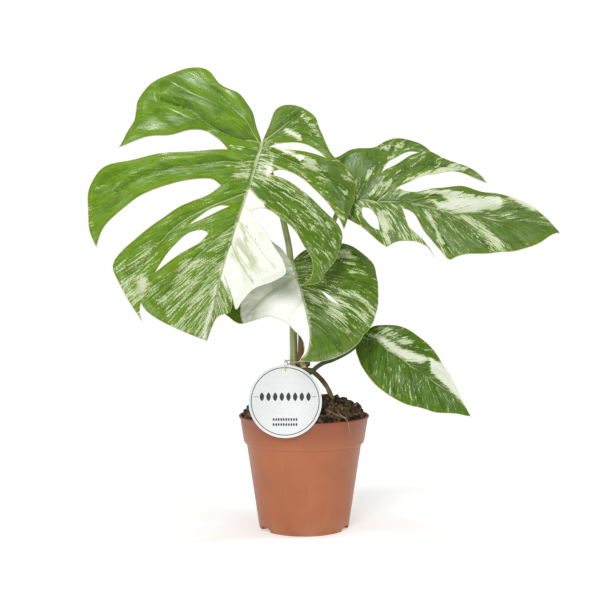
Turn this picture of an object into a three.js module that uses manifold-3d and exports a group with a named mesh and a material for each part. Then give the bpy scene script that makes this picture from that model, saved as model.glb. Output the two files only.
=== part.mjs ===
// Potted monstera plant in a terracotta-coloured nursery pot, with a round card tag.
// Millimetres, +Z up. The origin is the centre of the pot's underside, and the plant's
// front faces -Y. Every leaf, stalk and holder piece is a closed solid of its own.

import * as THREE from 'three';
import { mergeVertices } from 'three/addons/utils/BufferGeometryUtils.js';
import Module from 'manifold-3d';

// ---------- driving dimensions ----------

const CLEARANCE = 0.3;            // gap kept between touching pieces

const POT_HEIGHT = 103.5;
const POT_LIP_RADIUS = 60;        // outside of the rolled lip
const POT_WALL = 1.8;
const COLLAR_DEPTH = 24;          // the deep band below the lip
const COLLAR_STEP = 2.6;          // how far the collar stands out from the body
const COLLAR_FLARE = 3.4;         // the collar widens by this much from bottom to top
const POT_BODY_BASE_RADIUS = 41.3;
const POT_EDGE_ROUND = 1.4;       // rounding of the pot's bottom edge
const LIP_HEIGHT = 2;
const LIP_OVERHANG = 1;           // the lip beyond the collar's top
const DRAIN_SLOT_WIDTH = 16;
const DRAIN_SLOT_DEPTH = 8;       // inwards from the pot's bottom edge
const DRAIN_SLOT_HEIGHT = 3.8;
const DRAIN_SLOT_ANGLES = [-148, -24, 94];       // degrees from +X
const POT_SIDES = 64;

const SOIL_MOUND = 13;            // the soil's crown above the pot's rim
const SOIL_EDGE_DROP = 1.5;       // the soil's edge below the rim
const SOIL_LUMP = 1.3;

const STEM_RADIUS = 6.6;
const PETIOLE_A_RADIUS = 3.8;
const PETIOLE_B_RADIUS = 3.0;
const PETIOLE_C_RADIUS = 2.6;
const PETIOLE_D_RADIUS = 2.2;
const AERIAL_ROOT_RADIUS = 2.3;
const SURFACE_ROOT_RADIUS = 1.3;
const TUBE_SIDES = 10;

const BLADE_THICKNESS = 1.2;
const BLADE_STEP = 11;            // length of a blade facet
const BLADE_ROWS = 3;             // facets across each lobe

const TAG_RADIUS = 32;
const TAG_THICKNESS = 1;
const TAG_LEAN = 15;              // degrees back from upright
const TAG_CENTRE_X = -16.4;
const TAG_RISE = 19.2;            // the card's centre above the pot's rim
const TAG_HOLE_RADIUS = 1.7;
const TAG_HOLE_FROM_EDGE = 6;
const STRING_DIAMETER = 1.2;

// ---------- materials ----------

function finish(color, roughness) {
  return new THREE.MeshStandardMaterial({ color, roughness, metalness: 0 });
}

const potFinish = finish(0xb87052, 0.45);
const soilFinish = finish(0x2b1d15, 0.95);
const leafFinish = finish(0x6f9a3c, 0.35);
const paleLeafFinish = finish(0xdfe0c0, 0.35);
const stalkFinish = finish(0x75853f, 0.5);
const stemFinish = finish(0x5d5a34, 0.6);
const barkFinish = finish(0x6b4630, 0.85);
const cardFinish = finish(0xf4f2ec, 0.8);
const twineFinish = finish(0xc9b48a, 0.9);

// ---------- general shapes ----------

const group = new THREE.Group();

const plant = new THREE.Group();
plant.position.z = POT_HEIGHT;
group.add(plant);

function addPiece(parent, name, geometry, material) {
  const mesh = new THREE.Mesh(geometry, material);
  mesh.name = name;
  parent.add(mesh);
}

const wasm = await Module();
wasm.setup();

function bareGeometry(geometry) {
  const bare = geometry.clone();
  bare.deleteAttribute('normal');
  bare.deleteAttribute('uv');
  return mergeVertices(bare, 1e-4);
}

function toSolid(geometry) {
  const merged = bareGeometry(geometry);
  const mesh = new wasm.Mesh({
    numProp: 3,
    vertProperties: new Float32Array(merged.attributes.position.array),
    triVerts: new Uint32Array(merged.index.array),
  });
  return new wasm.Manifold(mesh);
}

function toGeometry(solid) {
  const mesh = solid.getMesh();
  const geometry = new THREE.BufferGeometry();
  geometry.setAttribute('position', new THREE.BufferAttribute(mesh.vertProperties, 3));
  geometry.setIndex(new THREE.BufferAttribute(mesh.triVerts, 1));
  return geometry;
}

// The largest piece of a solid that a cut has parted.
function largestPiece(solid) {
  const pieces = solid.decompose();
  return pieces.reduce((best, piece) => (piece.volume() > best.volume() ? piece : best));
}

function cutAway(geometry, cutters) {
  let solid = toSolid(geometry);
  for (const cutter of cutters) {
    solid = solid.subtract(toSolid(cutter));
  }
  return toGeometry(largestPiece(solid));
}

function indexedGeometry(points, triangles) {
  const positions = points.flatMap((point) => [point.x, point.y, point.z]);
  const geometry = new THREE.BufferGeometry();
  geometry.setAttribute('position', new THREE.Float32BufferAttribute(positions, 3));
  geometry.setIndex(triangles.flat());
  return geometry;
}

function curveThrough(points) {
  const stops = points.map(([x, y, z]) => new THREE.Vector3(x, y, z));
  return new THREE.CatmullRomCurve3(stops, false, 'catmullrom', 0.5);
}

// A closed round tube along a curve, its radius given as a function of 0..1. A gap makes
// it fatter and longer all round.
function roundTube(curve, radiusAt, step, sides = TUBE_SIDES, gap = 0) {
  const rings = Math.max(4, Math.round(curve.getLength() / step));
  const frames = curve.computeFrenetFrames(rings, false);
  const centres = [];
  const points = [];
  const triangles = [];
  for (let ring = 0; ring <= rings; ring += 1) {
    const centre = curve.getPointAt(ring / rings);
    const radius = radiusAt(ring / rings) + gap;
    if (ring === 0 || ring === rings) {
      centre.addScaledVector(frames.tangents[ring], ring === 0 ? -gap : gap);
    }
    centres.push(centre);
    for (let side = 0; side < sides; side += 1) {
      const angle = (2 * Math.PI * side) / sides;
      const point = centre.clone();
      point.addScaledVector(frames.normals[ring], radius * Math.cos(angle));
      point.addScaledVector(frames.binormals[ring], radius * Math.sin(angle));
      points.push(point);
    }
  }
  const start = points.push(centres.at(0)) - 1;
  const end = points.push(centres.at(-1)) - 1;
  const last = rings * sides;
  for (let side = 0; side < sides; side += 1) {
    const next = (side + 1) % sides;
    for (let ring = 0; ring < rings; ring += 1) {
      const here = ring * sides;
      const above = here + sides;
      triangles.push([here + side, here + next, above + next]);
      triangles.push([here + side, above + next, above + side]);
    }
    triangles.push([start, next, side]);
    triangles.push([end, last + side, last + next]);
  }
  return indexedGeometry(points, triangles);
}

function taper(from, to) {
  return (along) => from + (to - from) * along;
}

// ---------- pot and soil ----------

const COLLAR_TOP_RADIUS = POT_LIP_RADIUS - LIP_OVERHANG;
const COLLAR_BOTTOM_RADIUS = COLLAR_TOP_RADIUS - COLLAR_FLARE;
const POT_BODY_TOP_RADIUS = COLLAR_BOTTOM_RADIUS - COLLAR_STEP;
const COLLAR_BOTTOM_Z = POT_HEIGHT - COLLAR_DEPTH;
const BODY_TOP_Z = COLLAR_BOTTOM_Z - COLLAR_STEP / 2;

// The pot's outside from its bottom edge to the lip, as [radius, height].
function potOutside() {
  const lipUnderside = POT_HEIGHT - LIP_HEIGHT;
  return [
    [POT_BODY_BASE_RADIUS - POT_EDGE_ROUND, 0],
    [POT_BODY_BASE_RADIUS - 0.3 * POT_EDGE_ROUND, 0.3 * POT_EDGE_ROUND],
    [POT_BODY_BASE_RADIUS, POT_EDGE_ROUND],
    [POT_BODY_TOP_RADIUS, BODY_TOP_Z],
    [COLLAR_BOTTOM_RADIUS, COLLAR_BOTTOM_Z],
    [COLLAR_TOP_RADIUS, lipUnderside],
    [POT_LIP_RADIUS, lipUnderside + 0.5],
    [POT_LIP_RADIUS, POT_HEIGHT],
  ];
}

// The pot's inside from the floor to the mouth, grown inwards by a gap.
function potInside(gap) {
  const inset = POT_WALL + gap;
  return [
    [POT_BODY_BASE_RADIUS - inset, inset],
    [POT_BODY_TOP_RADIUS - inset, BODY_TOP_Z + inset / 2],
    [COLLAR_BOTTOM_RADIUS - inset, COLLAR_BOTTOM_Z + inset],
  ];
}

function lathe(profile, sides) {
  const outline = profile.map(([radius, height]) => new THREE.Vector2(radius, height));
  const geometry = new THREE.LatheGeometry(outline, sides);
  geometry.rotateX(Math.PI / 2);
  return geometry;
}

// A notch through the pot's bottom edge, for water to drain.
function drainSlot(angle) {
  const slot = new THREE.BoxGeometry(2 * DRAIN_SLOT_DEPTH, DRAIN_SLOT_WIDTH, 2 * DRAIN_SLOT_HEIGHT);
  slot.translate(POT_BODY_BASE_RADIUS, 0, 0);
  slot.rotateZ(THREE.MathUtils.degToRad(angle));
  return slot;
}

function makePot() {
  const inside = potInside(0).reverse();
  const mouth = [COLLAR_TOP_RADIUS - POT_WALL, POT_HEIGHT];
  const profile = [[0, 0], ...potOutside(), mouth, ...inside, [0, POT_WALL]];
  return cutAway(lathe(profile, POT_SIDES), DRAIN_SLOT_ANGLES.map(drainSlot));
}

// Height of the soil's surface above the pot's base.
function soilHeight(x, y) {
  const edge = COLLAR_TOP_RADIUS - POT_WALL - CLEARANCE;
  const reach = Math.min(1, Math.hypot(x, y) / edge);
  const crown = SOIL_MOUND * (1 - reach ** 5) + SOIL_EDGE_DROP * (1 - reach) - SOIL_EDGE_DROP;
  const lumps = Math.sin(x / 6 + 1.3) * Math.cos(y / 7 - 0.4) + 0.6 * Math.sin((x + y) / 4);
  return POT_HEIGHT + crown + SOIL_LUMP * lumps * (1 - reach ** 4);
}

function makeSoil(cutters) {
  const edge = COLLAR_TOP_RADIUS - POT_WALL - CLEARANCE - 0.2;
  const rim = [edge - COLLAR_FLARE * 0.06, POT_HEIGHT - SOIL_EDGE_DROP];
  const floor = POT_WALL + CLEARANCE;
  const crown = [0.97, 0.9, 0.78, 0.62, 0.46, 0.3, 0.15].map((share) => [edge * share, POT_HEIGHT]);
  const profile = [[0, floor], ...potInside(CLEARANCE), rim, ...crown, [0, POT_HEIGHT]];
  const geometry = lathe(profile, 40);
  const position = geometry.attributes.position;
  for (let i = 0; i < position.count; i += 1) {
    if (position.getZ(i) === Math.fround(POT_HEIGHT)) {
      position.setZ(i, soilHeight(position.getX(i), position.getY(i)));
    }
  }
  return cutAway(geometry, cutters);
}

// ---------- stem, stalks and roots ----------

// The plant and its tag are drawn in a frame whose z = 0 is the pot's rim.
const stemPath = [[0, 3, -13.5], [-1, 2, 8.5], [-2, 1, 26.5], [-3, 0, 47.5]];
const petioleAPath = [
  [-9.5, 0, 34.5], [-9.5, 1, 48.5], [-9.8, 4, 71.5], [-10.5, 9, 101.5], [-13, 12, 145.5],
  [-18, 8, 173.5], [-28, -1, 213.5], [-39.4, -11.6, 246.1],
];
const petioleBPath = [
  [2.5, 3.5, 45.5], [3, 4.5, 64.5], [8, 12, 96.5], [18, 22, 141.5], [28, 30, 178.5], [34.8, 32.2, 193.7],
];
const petioleCPath = [
  [-2.5, -2, 42.5], [-3, -2, 71.5], [-5, 0, 101.5], [-9, 2, 126.5], [-11.4, 0.6, 137.5],
];
const petioleDPath = [
  [0, 1, 33.5], [7, 1, 39.5], [13, 2, 44.5], [19.5, 3, 48], [27, 3, 50.5], [42, 1.5, 58.5],
  [53.8, -1.6, 69.1],
];
const aerialRootPath = [
  [-1, -1, 39.5], [4, -4, 41], [8.5, -6, 39.8], [16.5, -8, 32.5], [22, -9, 24.5],
  [26.5, -10, 13.5], [28, -10.5, 0.5],
];
// This one lies on the soil, so only its plan is given.
const surfaceRootPlan = [[19, -40], [24, -42.5], [29, -43.5], [33, -43], [37, -41]];

function stalk(path, from, to, step, gap = 0) {
  return roundTube(curveThrough(path), taper(from, to), step, TUBE_SIDES, gap);
}

function makeStem(gap) {
  const ringed = (along) => STEM_RADIUS - 1.4 * along + 0.5 * Math.sin(along * 16);
  return roundTube(curveThrough(stemPath), ringed, 5, 14, gap);
}

// The dried sheath that clasps the front of the stalks.
function makeSheath() {
  const outline = new THREE.Shape();
  outline.moveTo(-3.4, 0);
  outline.quadraticCurveTo(-3.6, 14, -1.6, 23);
  outline.quadraticCurveTo(0.4, 26, 1.2, 22);
  outline.quadraticCurveTo(3.2, 10, 2.8, 0);
  outline.closePath();
  const geometry = new THREE.ExtrudeGeometry(outline, {
    depth: 0.9,
    bevelEnabled: false,
    curveSegments: 6,
  });
  geometry.rotateX(Math.PI / 2);
  geometry.translate(-2.3, -5.6, 51.5);
  return geometry;
}

// ---------- leaves ----------

// A blade is drawn flat: u runs along the midrib from the stalk to the tip, and v is the
// distance from it. Each half is a row of lobes. "outer" is the edge of the first lobe,
// from the stalk to its tip. Each split parts two lobes: it leaves the midrib at "root",
// runs "shared" to the notch, may open as a "hole" and close again along "rejoin", and
// ends with the "above" edge of the lobe before it and the "below" edge of the next one.

const leafA = {
  length: 200,
  midrib: [
    [-38, -15, 248], [-48, -44, 207], [-58, -66, 172], [-68, -84, 136],
    [-74, -95, 106], [-80, -102, 75],
  ],
  face: [0.35, -0.8, 0.45],
  backBend: 260,
  left: {
    fold: 8,
    arch: 190,
    outer: [
      [0, 0], [-10, 7], [-31, 18], [-44, 32], [-47, 48], [-63, 66], [-61, 83], [-46, 100],
      [-28, 113], [-8, 119], [18, 115], [37, 117], [51, 120],
    ],
    splits: [
      {
        root: 10,
        shared: [[18, 14], [25, 28]],
        above: [[18, 40], [13, 51], [17, 65], [27, 80], [35, 98], [51, 120]],
        below: [[37, 50], [53, 82], [67, 105], [79, 125], [96, 131], [116, 126], [134, 117], [146, 106]],
      },
      {
        root: 42,
        shared: [[54, 11], [64, 24]],
        above: [[62, 34], [71, 50], [92, 79], [112, 94], [131, 104], [146, 106]],
        below: [[81, 33], [98, 50], [115, 62], [132, 75], [147, 86], [160, 88], [178, 74], [197, 55]],
      },
      {
        root: 72,
        shared: [[80, 11]],
        hole: { above: [[84, 19], [94, 28], [110, 38]], below: [[88, 18], [100, 28], [110, 38]] },
        rejoin: [[138, 57], [165, 67], [183, 66], [197, 55]],
      },
      {
        root: 98,
        shared: [[106, 9], [113, 21]],
        hole: {
          above: [[112, 27], [118, 36], [130, 43], [142, 49], [155, 54]],
          below: [[124, 26], [137, 38], [155, 54]],
        },
        rejoin: [[168, 57], [182, 60]],
        above: [[190, 59], [197, 55]],
        below: [[188, 53], [194, 38], [198, 16], [200, 0]],
      },
    ],
  },
  right: {
    fold: 10,
    arch: 150,
    outer: [
      [0, 0], [-22, 2], [-44, 4], [-59, 13], [-65, 27], [-58, 42], [-45, 50], [-33, 58],
      [-24, 70], [-20, 84],
    ],
    splits: [
      {
        root: 8,
        shared: [[3, 7]],
        hole: {
          above: [[-6, 17], [-15, 34], [-18, 52], [-15, 63]],
          below: [[-2, 21], [-9, 40], [-15, 63]],
        },
        rejoin: [[-17, 73], [-20, 84]],
        below: [[-18, 96], [0, 104], [24, 101], [45, 99]],
      },
      {
        root: 25,
        shared: [[33, 14]],
        above: [[24, 24], [22, 46], [28, 64], [36, 86], [45, 99]],
        below: [
          [32, 32], [36, 50], [41, 72], [46, 93], [55, 102], [73, 99], [95, 93], [112, 87], [126, 69],
        ],
      },
      {
        root: 70,
        shared: [[76, 8]],
        above: [[70, 15], [68, 24], [72, 36], [80, 57], [97, 75], [111, 78], [126, 69]],
        below: [[85, 17], [93, 28], [107, 44], [118, 53], [124, 52]],
      },
      {
        root: 138,
        shared: [[143, 3]],
        above: [[154, 10], [169, 18, 'corner'], [161, 22], [148, 29], [136, 42], [124, 52]],
        below: [[156, 10], [165, 14], [173, 13], [180, 4], [200, 0]],
      },
    ],
  },
};

const leafB = {
  length: 205,
  midrib: [
    [35, 30, 196.5], [62, 28, 198], [90, 24, 196], [127, 18, 189], [163, 10, 181.5],
    [199, 2, 176], [233, -8, 167.5],
  ],
  face: [0.05, -0.64, 0.77],
  backBend: 250,
  left: {
    fold: 10,
    arch: 120,
    outer: [[0, 0], [-8, 8], [-4, 19], [5, 28], [23, 44], [40, 56], [52, 63]],
    splits: [
      {
        root: 12,
        shared: [[20, 12]],
        hole: { above: [[21, 26], [31, 40], [41, 45]], below: [[28, 16], [37, 31], [41, 45]] },
        rejoin: [[46, 55], [52, 63]],
        below: [[66, 55], [80, 52], [95, 57]],
      },
      {
        root: 48,
        shared: [[59, 11]],
        above: [[64, 22], [71, 36], [84, 47], [95, 57]],
        below: [
          [72, 18], [86, 40], [106, 56], [116, 64], [122, 60], [137, 52], [155, 48], [166, 45],
          [186, 33], [199, 11], [205, 0],
        ],
      },
    ],
  },
  right: {
    fold: 14,
    arch: 420,
    outer: [
      [0, 0], [-10, 3], [-19, 14], [-22, 34], [-14, 52], [-3, 62], [11, 69], [26, 74], [36, 86],
      [47, 92], [60, 89], [72, 76],
    ],
    splits: [
      {
        root: 24,
        shared: [[30, 18], [36, 36]],
        hole: { above: [[40, 54], [48, 65], [55, 71], [63, 72]], below: [[49, 55], [57, 66], [63, 72]] },
        rejoin: [[72, 76]],
        below: [[87, 69], [103, 67], [120, 56], [130, 46]],
      },
      {
        root: 42,
        shared: [[50, 17]],
        above: [[60, 29], [76, 43], [102, 53], [130, 46]],
        below: [[66, 16], [88, 27], [114, 35], [148, 31], [170, 26], [186, 14], [205, 0]],
      },
    ],
  },
};

const leafC = {
  length: 116,
  midrib: [
    [-11, -2, 140.5], [-4.5, -22, 119.5], [1, -38, 100.5], [4.5, -54, 81], [3.5, -66, 64.5],
    [-4.5, -74, 55],
  ],
  face: [0.1, -0.72, 0.69],
  backBend: 200,
  left: {
    fold: 12,
    arch: 110,
    outer: [
      [0, 0], [-13, 6], [-38, 17], [-46, 34], [-34, 56], [-6, 70], [26, 76], [50, 71],
      [66, 61, 'corner'], [67, 50], [65, 36],
    ],
    splits: [
      {
        root: 26,
        shared: [[42, 16], [65, 36]],
        below: [[72, 21], [83, 13], [96, 5], [116, 0]],
      },
    ],
  },
  right: {
    fold: 12,
    arch: 120,
    outer: [
      [0, 0], [-11, 12], [-17, 30], [-18, 53], [-11, 72], [4, 80], [21, 78], [50, 71], [73, 59],
      [84, 48],
    ],
    splits: [
      {
        root: 30,
        shared: [[41, 17]],
        hole: { above: [[48, 25], [58, 31]], below: [[51, 23], [58, 31]] },
        rejoin: [[70, 40], [84, 48]],
        below: [[91, 43], [99, 32], [107, 14], [116, 0]],
      },
    ],
  },
};

const leafD = {
  length: 126,
  midrib: [
    [53, -4, 72], [69, -14, 66], [86.5, -24, 54], [107.5, -36, 39],
    [128, -48, 24.5], [145, -58, 6],
  ],
  face: [0, -0.7, 0.7],
  backBend: 120,
  left: {
    fold: 12,
    arch: 110,
    outer: [[0, 0], [5, 18], [18, 30], [34, 37], [52, 40], [74, 38], [101, 28], [120, 9], [126, 0]],
    splits: [],
  },
  right: {
    fold: 14,
    arch: 90,
    outer: [[0, 0], [5, 16], [19, 25], [39, 29], [62, 26], [84, 18], [105, 8], [119, 3], [126, 0]],
    splits: [],
  },
};

// A place (u, v) of the flat blade, carried onto the curved midrib.
function bladePoint(leaf, curve, u, v) {
  const face = new THREE.Vector3(...leaf.face).normalize();
  const at = Math.min(Math.max(u / leaf.length, 0), 1);
  const point = curve.getPointAt(at);
  const tangent = curve.getTangentAt(at);
  const normal = face.clone().addScaledVector(tangent, -face.dot(tangent)).normalize();
  const across = normal.clone().cross(tangent);
  if (u < 0) {
    const turn = -u / leaf.backBend;
    point.addScaledVector(tangent, -Math.sin(turn) * leaf.backBend);
    point.addScaledVector(normal, (Math.cos(turn) - 1) * leaf.backBend);
    normal.multiplyScalar(Math.cos(turn)).addScaledVector(tangent, -Math.sin(turn));
  }
  const half = v < 0 ? leaf.left : leaf.right;
  const fold = THREE.MathUtils.degToRad(half.fold);
  const angle = fold - Math.abs(v) / half.arch;
  const reach = half.arch * (Math.sin(fold) - Math.sin(angle));
  point.addScaledVector(across, Math.sign(v) * reach);
  point.addScaledVector(normal, half.arch * (Math.cos(angle) - Math.cos(fold)));
  return point;
}

// Evenly spaced points on a smooth line, without its first one. A control point with a
// third value is a sharp corner, and the nearest point moves onto it.
function spaced(points) {
  const curve = new THREE.SplineCurve(points.map(([u, v]) => new THREE.Vector2(u, v)));
  const count = Math.max(1, Math.round(curve.getLength() / BLADE_STEP));
  const line = curve.getSpacedPoints(count).map(({ x, y }) => [x, y]);
  for (const [u, v] of points.filter((point) => point.length > 2)) {
    const gaps = line.map((place) => Math.hypot(place[0] - u, place[1] - v));
    line[gaps.indexOf(Math.min(...gaps.slice(1, -1)))] = [u, v];
  }
  return line.slice(1);
}

// Both edges along a split, from the midrib to the tips of the lobes beside it.
function splitEdges(split, start) {
  const above = [start];
  const below = [start];
  const addBoth = (line) => {
    above.push(...line);
    below.push(...line);
  };
  addBoth(spaced([start, ...split.shared]));
  if (split.hole) {
    above.push(...spaced([above.at(-1), ...split.hole.above]));
    below.push(...spaced([below.at(-1), ...split.hole.below]));
  }
  if (split.rejoin) {
    addBoth(spaced([above.at(-1), ...split.rejoin]));
  }
  if (split.above) {
    above.push(...spaced([above.at(-1), ...split.above]));
  }
  if (split.below) {
    below.push(...spaced([below.at(-1), ...split.below]));
  }
  return { above, below };
}

// A place at a share of the way along a line of evenly spaced points.
function placeOn(line, share) {
  const at = share * (line.length - 1);
  const from = Math.min(Math.floor(at), line.length - 2);
  const [u0, v0] = line[from];
  const [u1, v1] = line[from + 1];
  return [u0 + (u1 - u0) * (at - from), v0 + (v1 - v0) * (at - from)];
}

// Vertices and triangles of a flat blade, with both halves joined along the midrib.
function flatBlade(leaf) {
  const ribSteps = Math.round(leaf.length / BLADE_STEP);
  const ribPoint = (index) => [(leaf.length * index) / ribSteps, 0];
  const points = [];
  const known = new Map();
  const triangles = [];
  const vertex = ([u, v]) => {
    const key = `${u.toFixed(3)},${v.toFixed(3)}`.replace('-0.000', '0.000');
    if (!known.has(key)) {
      known.set(key, points.push([u, v]) - 1);
    }
    return known.get(key);
  };
  const addTriangle = (...corners) => {
    if (new Set(corners).size < 3) {
      return;
    }
    const [[ua, va], [ub, vb], [uc, vc]] = corners.map((corner) => points[corner]);
    const area = (ub - ua) * (vc - va) - (uc - ua) * (vb - va);
    triangles.push(area > 0 ? [corners[0], corners[2], corners[1]] : corners);
  };
  // Fills the strip between two lines of vertices, whose counts may differ.
  const addStrip = (upper, lower) => {
    let [i, j] = [0, 0];
    while (i < upper.length - 1 || j < lower.length - 1) {
      const upperNext = (i + 1) / (upper.length - 1);
      const lowerNext = (j + 1) / (lower.length - 1);
      if (j === lower.length - 1 || (i < upper.length - 1 && upperNext <= lowerNext)) {
        addTriangle(upper[i], upper[i + 1], lower[j]);
        i += 1;
      } else {
        addTriangle(upper[i], lower[j + 1], lower[j]);
        j += 1;
      }
    }
  };

  for (const [half, side] of [[leaf.left, -1], [leaf.right, 1]]) {
    const roots = half.splits.map((split) => Math.round((split.root / leaf.length) * ribSteps));
    const edges = half.splits.map((split, i) => splitEdges(split, ribPoint(roots[i])));
    for (let lobe = 0; lobe <= half.splits.length; lobe += 1) {
      const firstRoot = lobe > 0 ? roots[lobe - 1] : 0;
      const lastRoot = roots[lobe] ?? firstRoot;
      const upper = lobe > 0 ? edges[lobe - 1].below : [[0, 0], ...spaced(half.outer)];
      const ribEnd = Array.from({ length: ribSteps - firstRoot + 1 }, (_, i) => ribPoint(firstRoot + i));
      const lower = edges[lobe]?.above ?? ribEnd;
      const rows = Math.max(BLADE_ROWS, lastRoot - firstRoot);
      let previous = null;
      for (let row = 0; row <= rows; row += 1) {
        const share = row / rows;
        const columns = Math.round((upper.length - 1) * (1 - share) + (lower.length - 1) * share);
        const line = [];
        for (let column = 0; column <= columns; column += 1) {
          const [u0, v0] = placeOn(upper, column / columns);
          const [u1, v1] = placeOn(lower, column / columns);
          const start = ribPoint(firstRoot + Math.round((lastRoot - firstRoot) * share));
          const place = column > 0 ? [u0 + (u1 - u0) * share, v0 + (v1 - v0) * share] : start;
          line.push(vertex([place[0], side * place[1]]));
        }
        if (previous) {
          addStrip(previous, line);
        }
        previous = line;
      }
    }
  }
  return { points, triangles };
}

// A leaf blade as a thin closed solid, even in thickness.
function makeBlade(leaf) {
  const curve = curveThrough(leaf.midrib);
  const flat = flatBlade(leaf);
  const middle = flat.points.map(([u, v]) => bladePoint(leaf, curve, u, v));
  const normals = middle.map(() => new THREE.Vector3());
  const edges = new Map();
  for (const [a, b, c] of flat.triangles) {
    const ab = middle[b].clone().sub(middle[a]);
    const ac = middle[c].clone().sub(middle[a]);
    const normal = ab.cross(ac);
    for (const corner of [a, b, c]) {
      normals[corner].add(normal);
    }
    for (const [from, to] of [[a, b], [b, c], [c, a]]) {
      edges.set(`${from},${to}`, [from, to]);
    }
  }
  const count = middle.length;
  const offset = (sign) => middle.map((point, i) => {
    const normal = normals[i].clone().normalize();
    return point.clone().addScaledVector(normal, (sign * BLADE_THICKNESS) / 2);
  });
  const triangles = [...flat.triangles];
  for (const [a, b, c] of flat.triangles) {
    triangles.push([a + count, c + count, b + count]);
  }
  for (const [from, to] of edges.values()) {
    if (!edges.has(`${to},${from}`)) {
      triangles.push([to, from, from + count]);
      triangles.push([to, from + count, to + count]);
    }
  }
  return indexedGeometry([...offset(1), ...offset(-1)], triangles);
}

// ---------- tag and string ----------

const TAG_HOLE_OFFSET = TAG_RADIUS - TAG_HOLE_FROM_EDGE;

// The card leans back on the pot's lip.
function tagFrame() {
  const lean = THREE.MathUtils.degToRad(TAG_LEAN);
  const front = -(POT_LIP_RADIUS + CLEARANCE + TAG_THICKNESS / 2 / Math.cos(lean));
  const y = front + TAG_RISE * Math.tan(lean);
  return { lean, centre: new THREE.Vector3(TAG_CENTRE_X, y, TAG_RISE) };
}

function makeTag() {
  const { lean, centre } = tagFrame();
  const outline = new THREE.Shape();
  outline.absarc(0, 0, TAG_RADIUS, 0, 2 * Math.PI);
  const hole = new THREE.Path();
  hole.absarc(0, TAG_HOLE_OFFSET, TAG_HOLE_RADIUS, 0, 2 * Math.PI, true);
  outline.holes.push(hole);
  const geometry = new THREE.ExtrudeGeometry(outline, {
    depth: TAG_THICKNESS,
    bevelEnabled: false,
    curveSegments: 24,
  });
  geometry.translate(0, 0, -TAG_THICKNESS / 2);
  geometry.rotateX(Math.PI / 2 - lean);
  geometry.translate(centre.x, centre.y, centre.z);
  return geometry;
}

// The twine loop: out of the card's hole, over its top, round the stalks and back.
const stringPath = [
  [-16.4, -49.4, 44.4], [-16.5, -52, 45.1], [-16.7, -53.2, 47.5], [-16.8, -52.4, 50.7],
  [-16.7, -49.6, 53.3], [-16.4, -45.5, 54.3], [-15.8, -38, 52.5], [-15, -28, 50.1],
  [-15, -17, 49.1], [-15.6, -8, 49.3], [-15.4, -1, 49.7], [-13.6, 4.4, 49.7],
  [-9, 7.6, 49.3], [-3, 9, 48.9], [3, 9, 48.7], [7, 6.4, 48.9], [8, 2, 49.3],
  [6.6, -3, 49.7], [2, -7.6, 49.9], [-5, -12.5, 49.7], [-11, -20, 49.3], [-14, -29, 49.1],
  [-15.4, -37, 48.3], [-16.2, -42.4, 46.1], [-16.4, -45.4, 44.1], [-16.4, -48.6, 44.2],
];

function makeString() {
  const section = new THREE.Shape();
  section.absarc(0, 0, STRING_DIAMETER / 2, 0, 2 * Math.PI);
  return new THREE.ExtrudeGeometry(section, {
    steps: 60,
    curveSegments: 4,
    extrudePath: curveThrough(stringPath),
  });
}

// ---------- assembly ----------

const stemClear = makeStem(CLEARANCE);
const [aerialRoot, aerialRootClear] = [0, CLEARANCE].map((gap) => {
  return stalk(aerialRootPath, AERIAL_ROOT_RADIUS, AERIAL_ROOT_RADIUS, 5, gap);
});
const surfaceRootPath = surfaceRootPlan.map(([x, y]) => {
  return [x, y, soilHeight(x, y) - POT_HEIGHT + SURFACE_ROOT_RADIUS + 3 * CLEARANCE];
});
const soilCutters = [stemClear, aerialRootClear].map((cutter) => {
  return cutter.clone().translate(0, 0, POT_HEIGHT);
});

addPiece(group, 'pot', makePot(), potFinish);
addPiece(group, 'soil', makeSoil(soilCutters), soilFinish);

addPiece(plant, 'main_stem', makeStem(0), stemFinish);
addPiece(plant, 'aerial_root', cutAway(aerialRoot, [stemClear]), stemFinish);
addPiece(plant, 'surface_root', stalk(surfaceRootPath, SURFACE_ROOT_RADIUS, 0.8, 4), barkFinish);
addPiece(plant, 'dried_sheath', makeSheath(), barkFinish);

const petioles = [
  ['petiole_upper_left', petioleAPath, PETIOLE_A_RADIUS, 2.4],
  ['petiole_right', petioleBPath, PETIOLE_B_RADIUS, 2.2],
  ['petiole_centre', petioleCPath, PETIOLE_C_RADIUS, 2],
  ['petiole_lower_right', petioleDPath, PETIOLE_D_RADIUS, 1.8],
];
for (const [name, path, from, to] of petioles) {
  addPiece(plant, name, cutAway(stalk(path, from, to, 8), [stemClear]), stalkFinish);
}

addPiece(plant, 'leaf_upper_left', makeBlade(leafA), leafFinish);
addPiece(plant, 'leaf_right', makeBlade(leafB), leafFinish);
addPiece(plant, 'leaf_centre', makeBlade(leafC), paleLeafFinish);
addPiece(plant, 'leaf_lower_right', makeBlade(leafD), leafFinish);

addPiece(plant, 'tag_card', makeTag(), cardFinish);
addPiece(plant, 'tag_string', makeString(), twineFinish);

export default group;
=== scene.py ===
"""A potted monstera with marbled leaves, a round card tag and a twine loop.

Lengths are written in millimetres and turned into metres by MM. The plant's points are
measured from the pot's rim, and rim() lifts them into the frame.
"""

import math
import random

import bmesh
import bpy
import numpy as np
from mathutils import Matrix, Vector, noise


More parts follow.
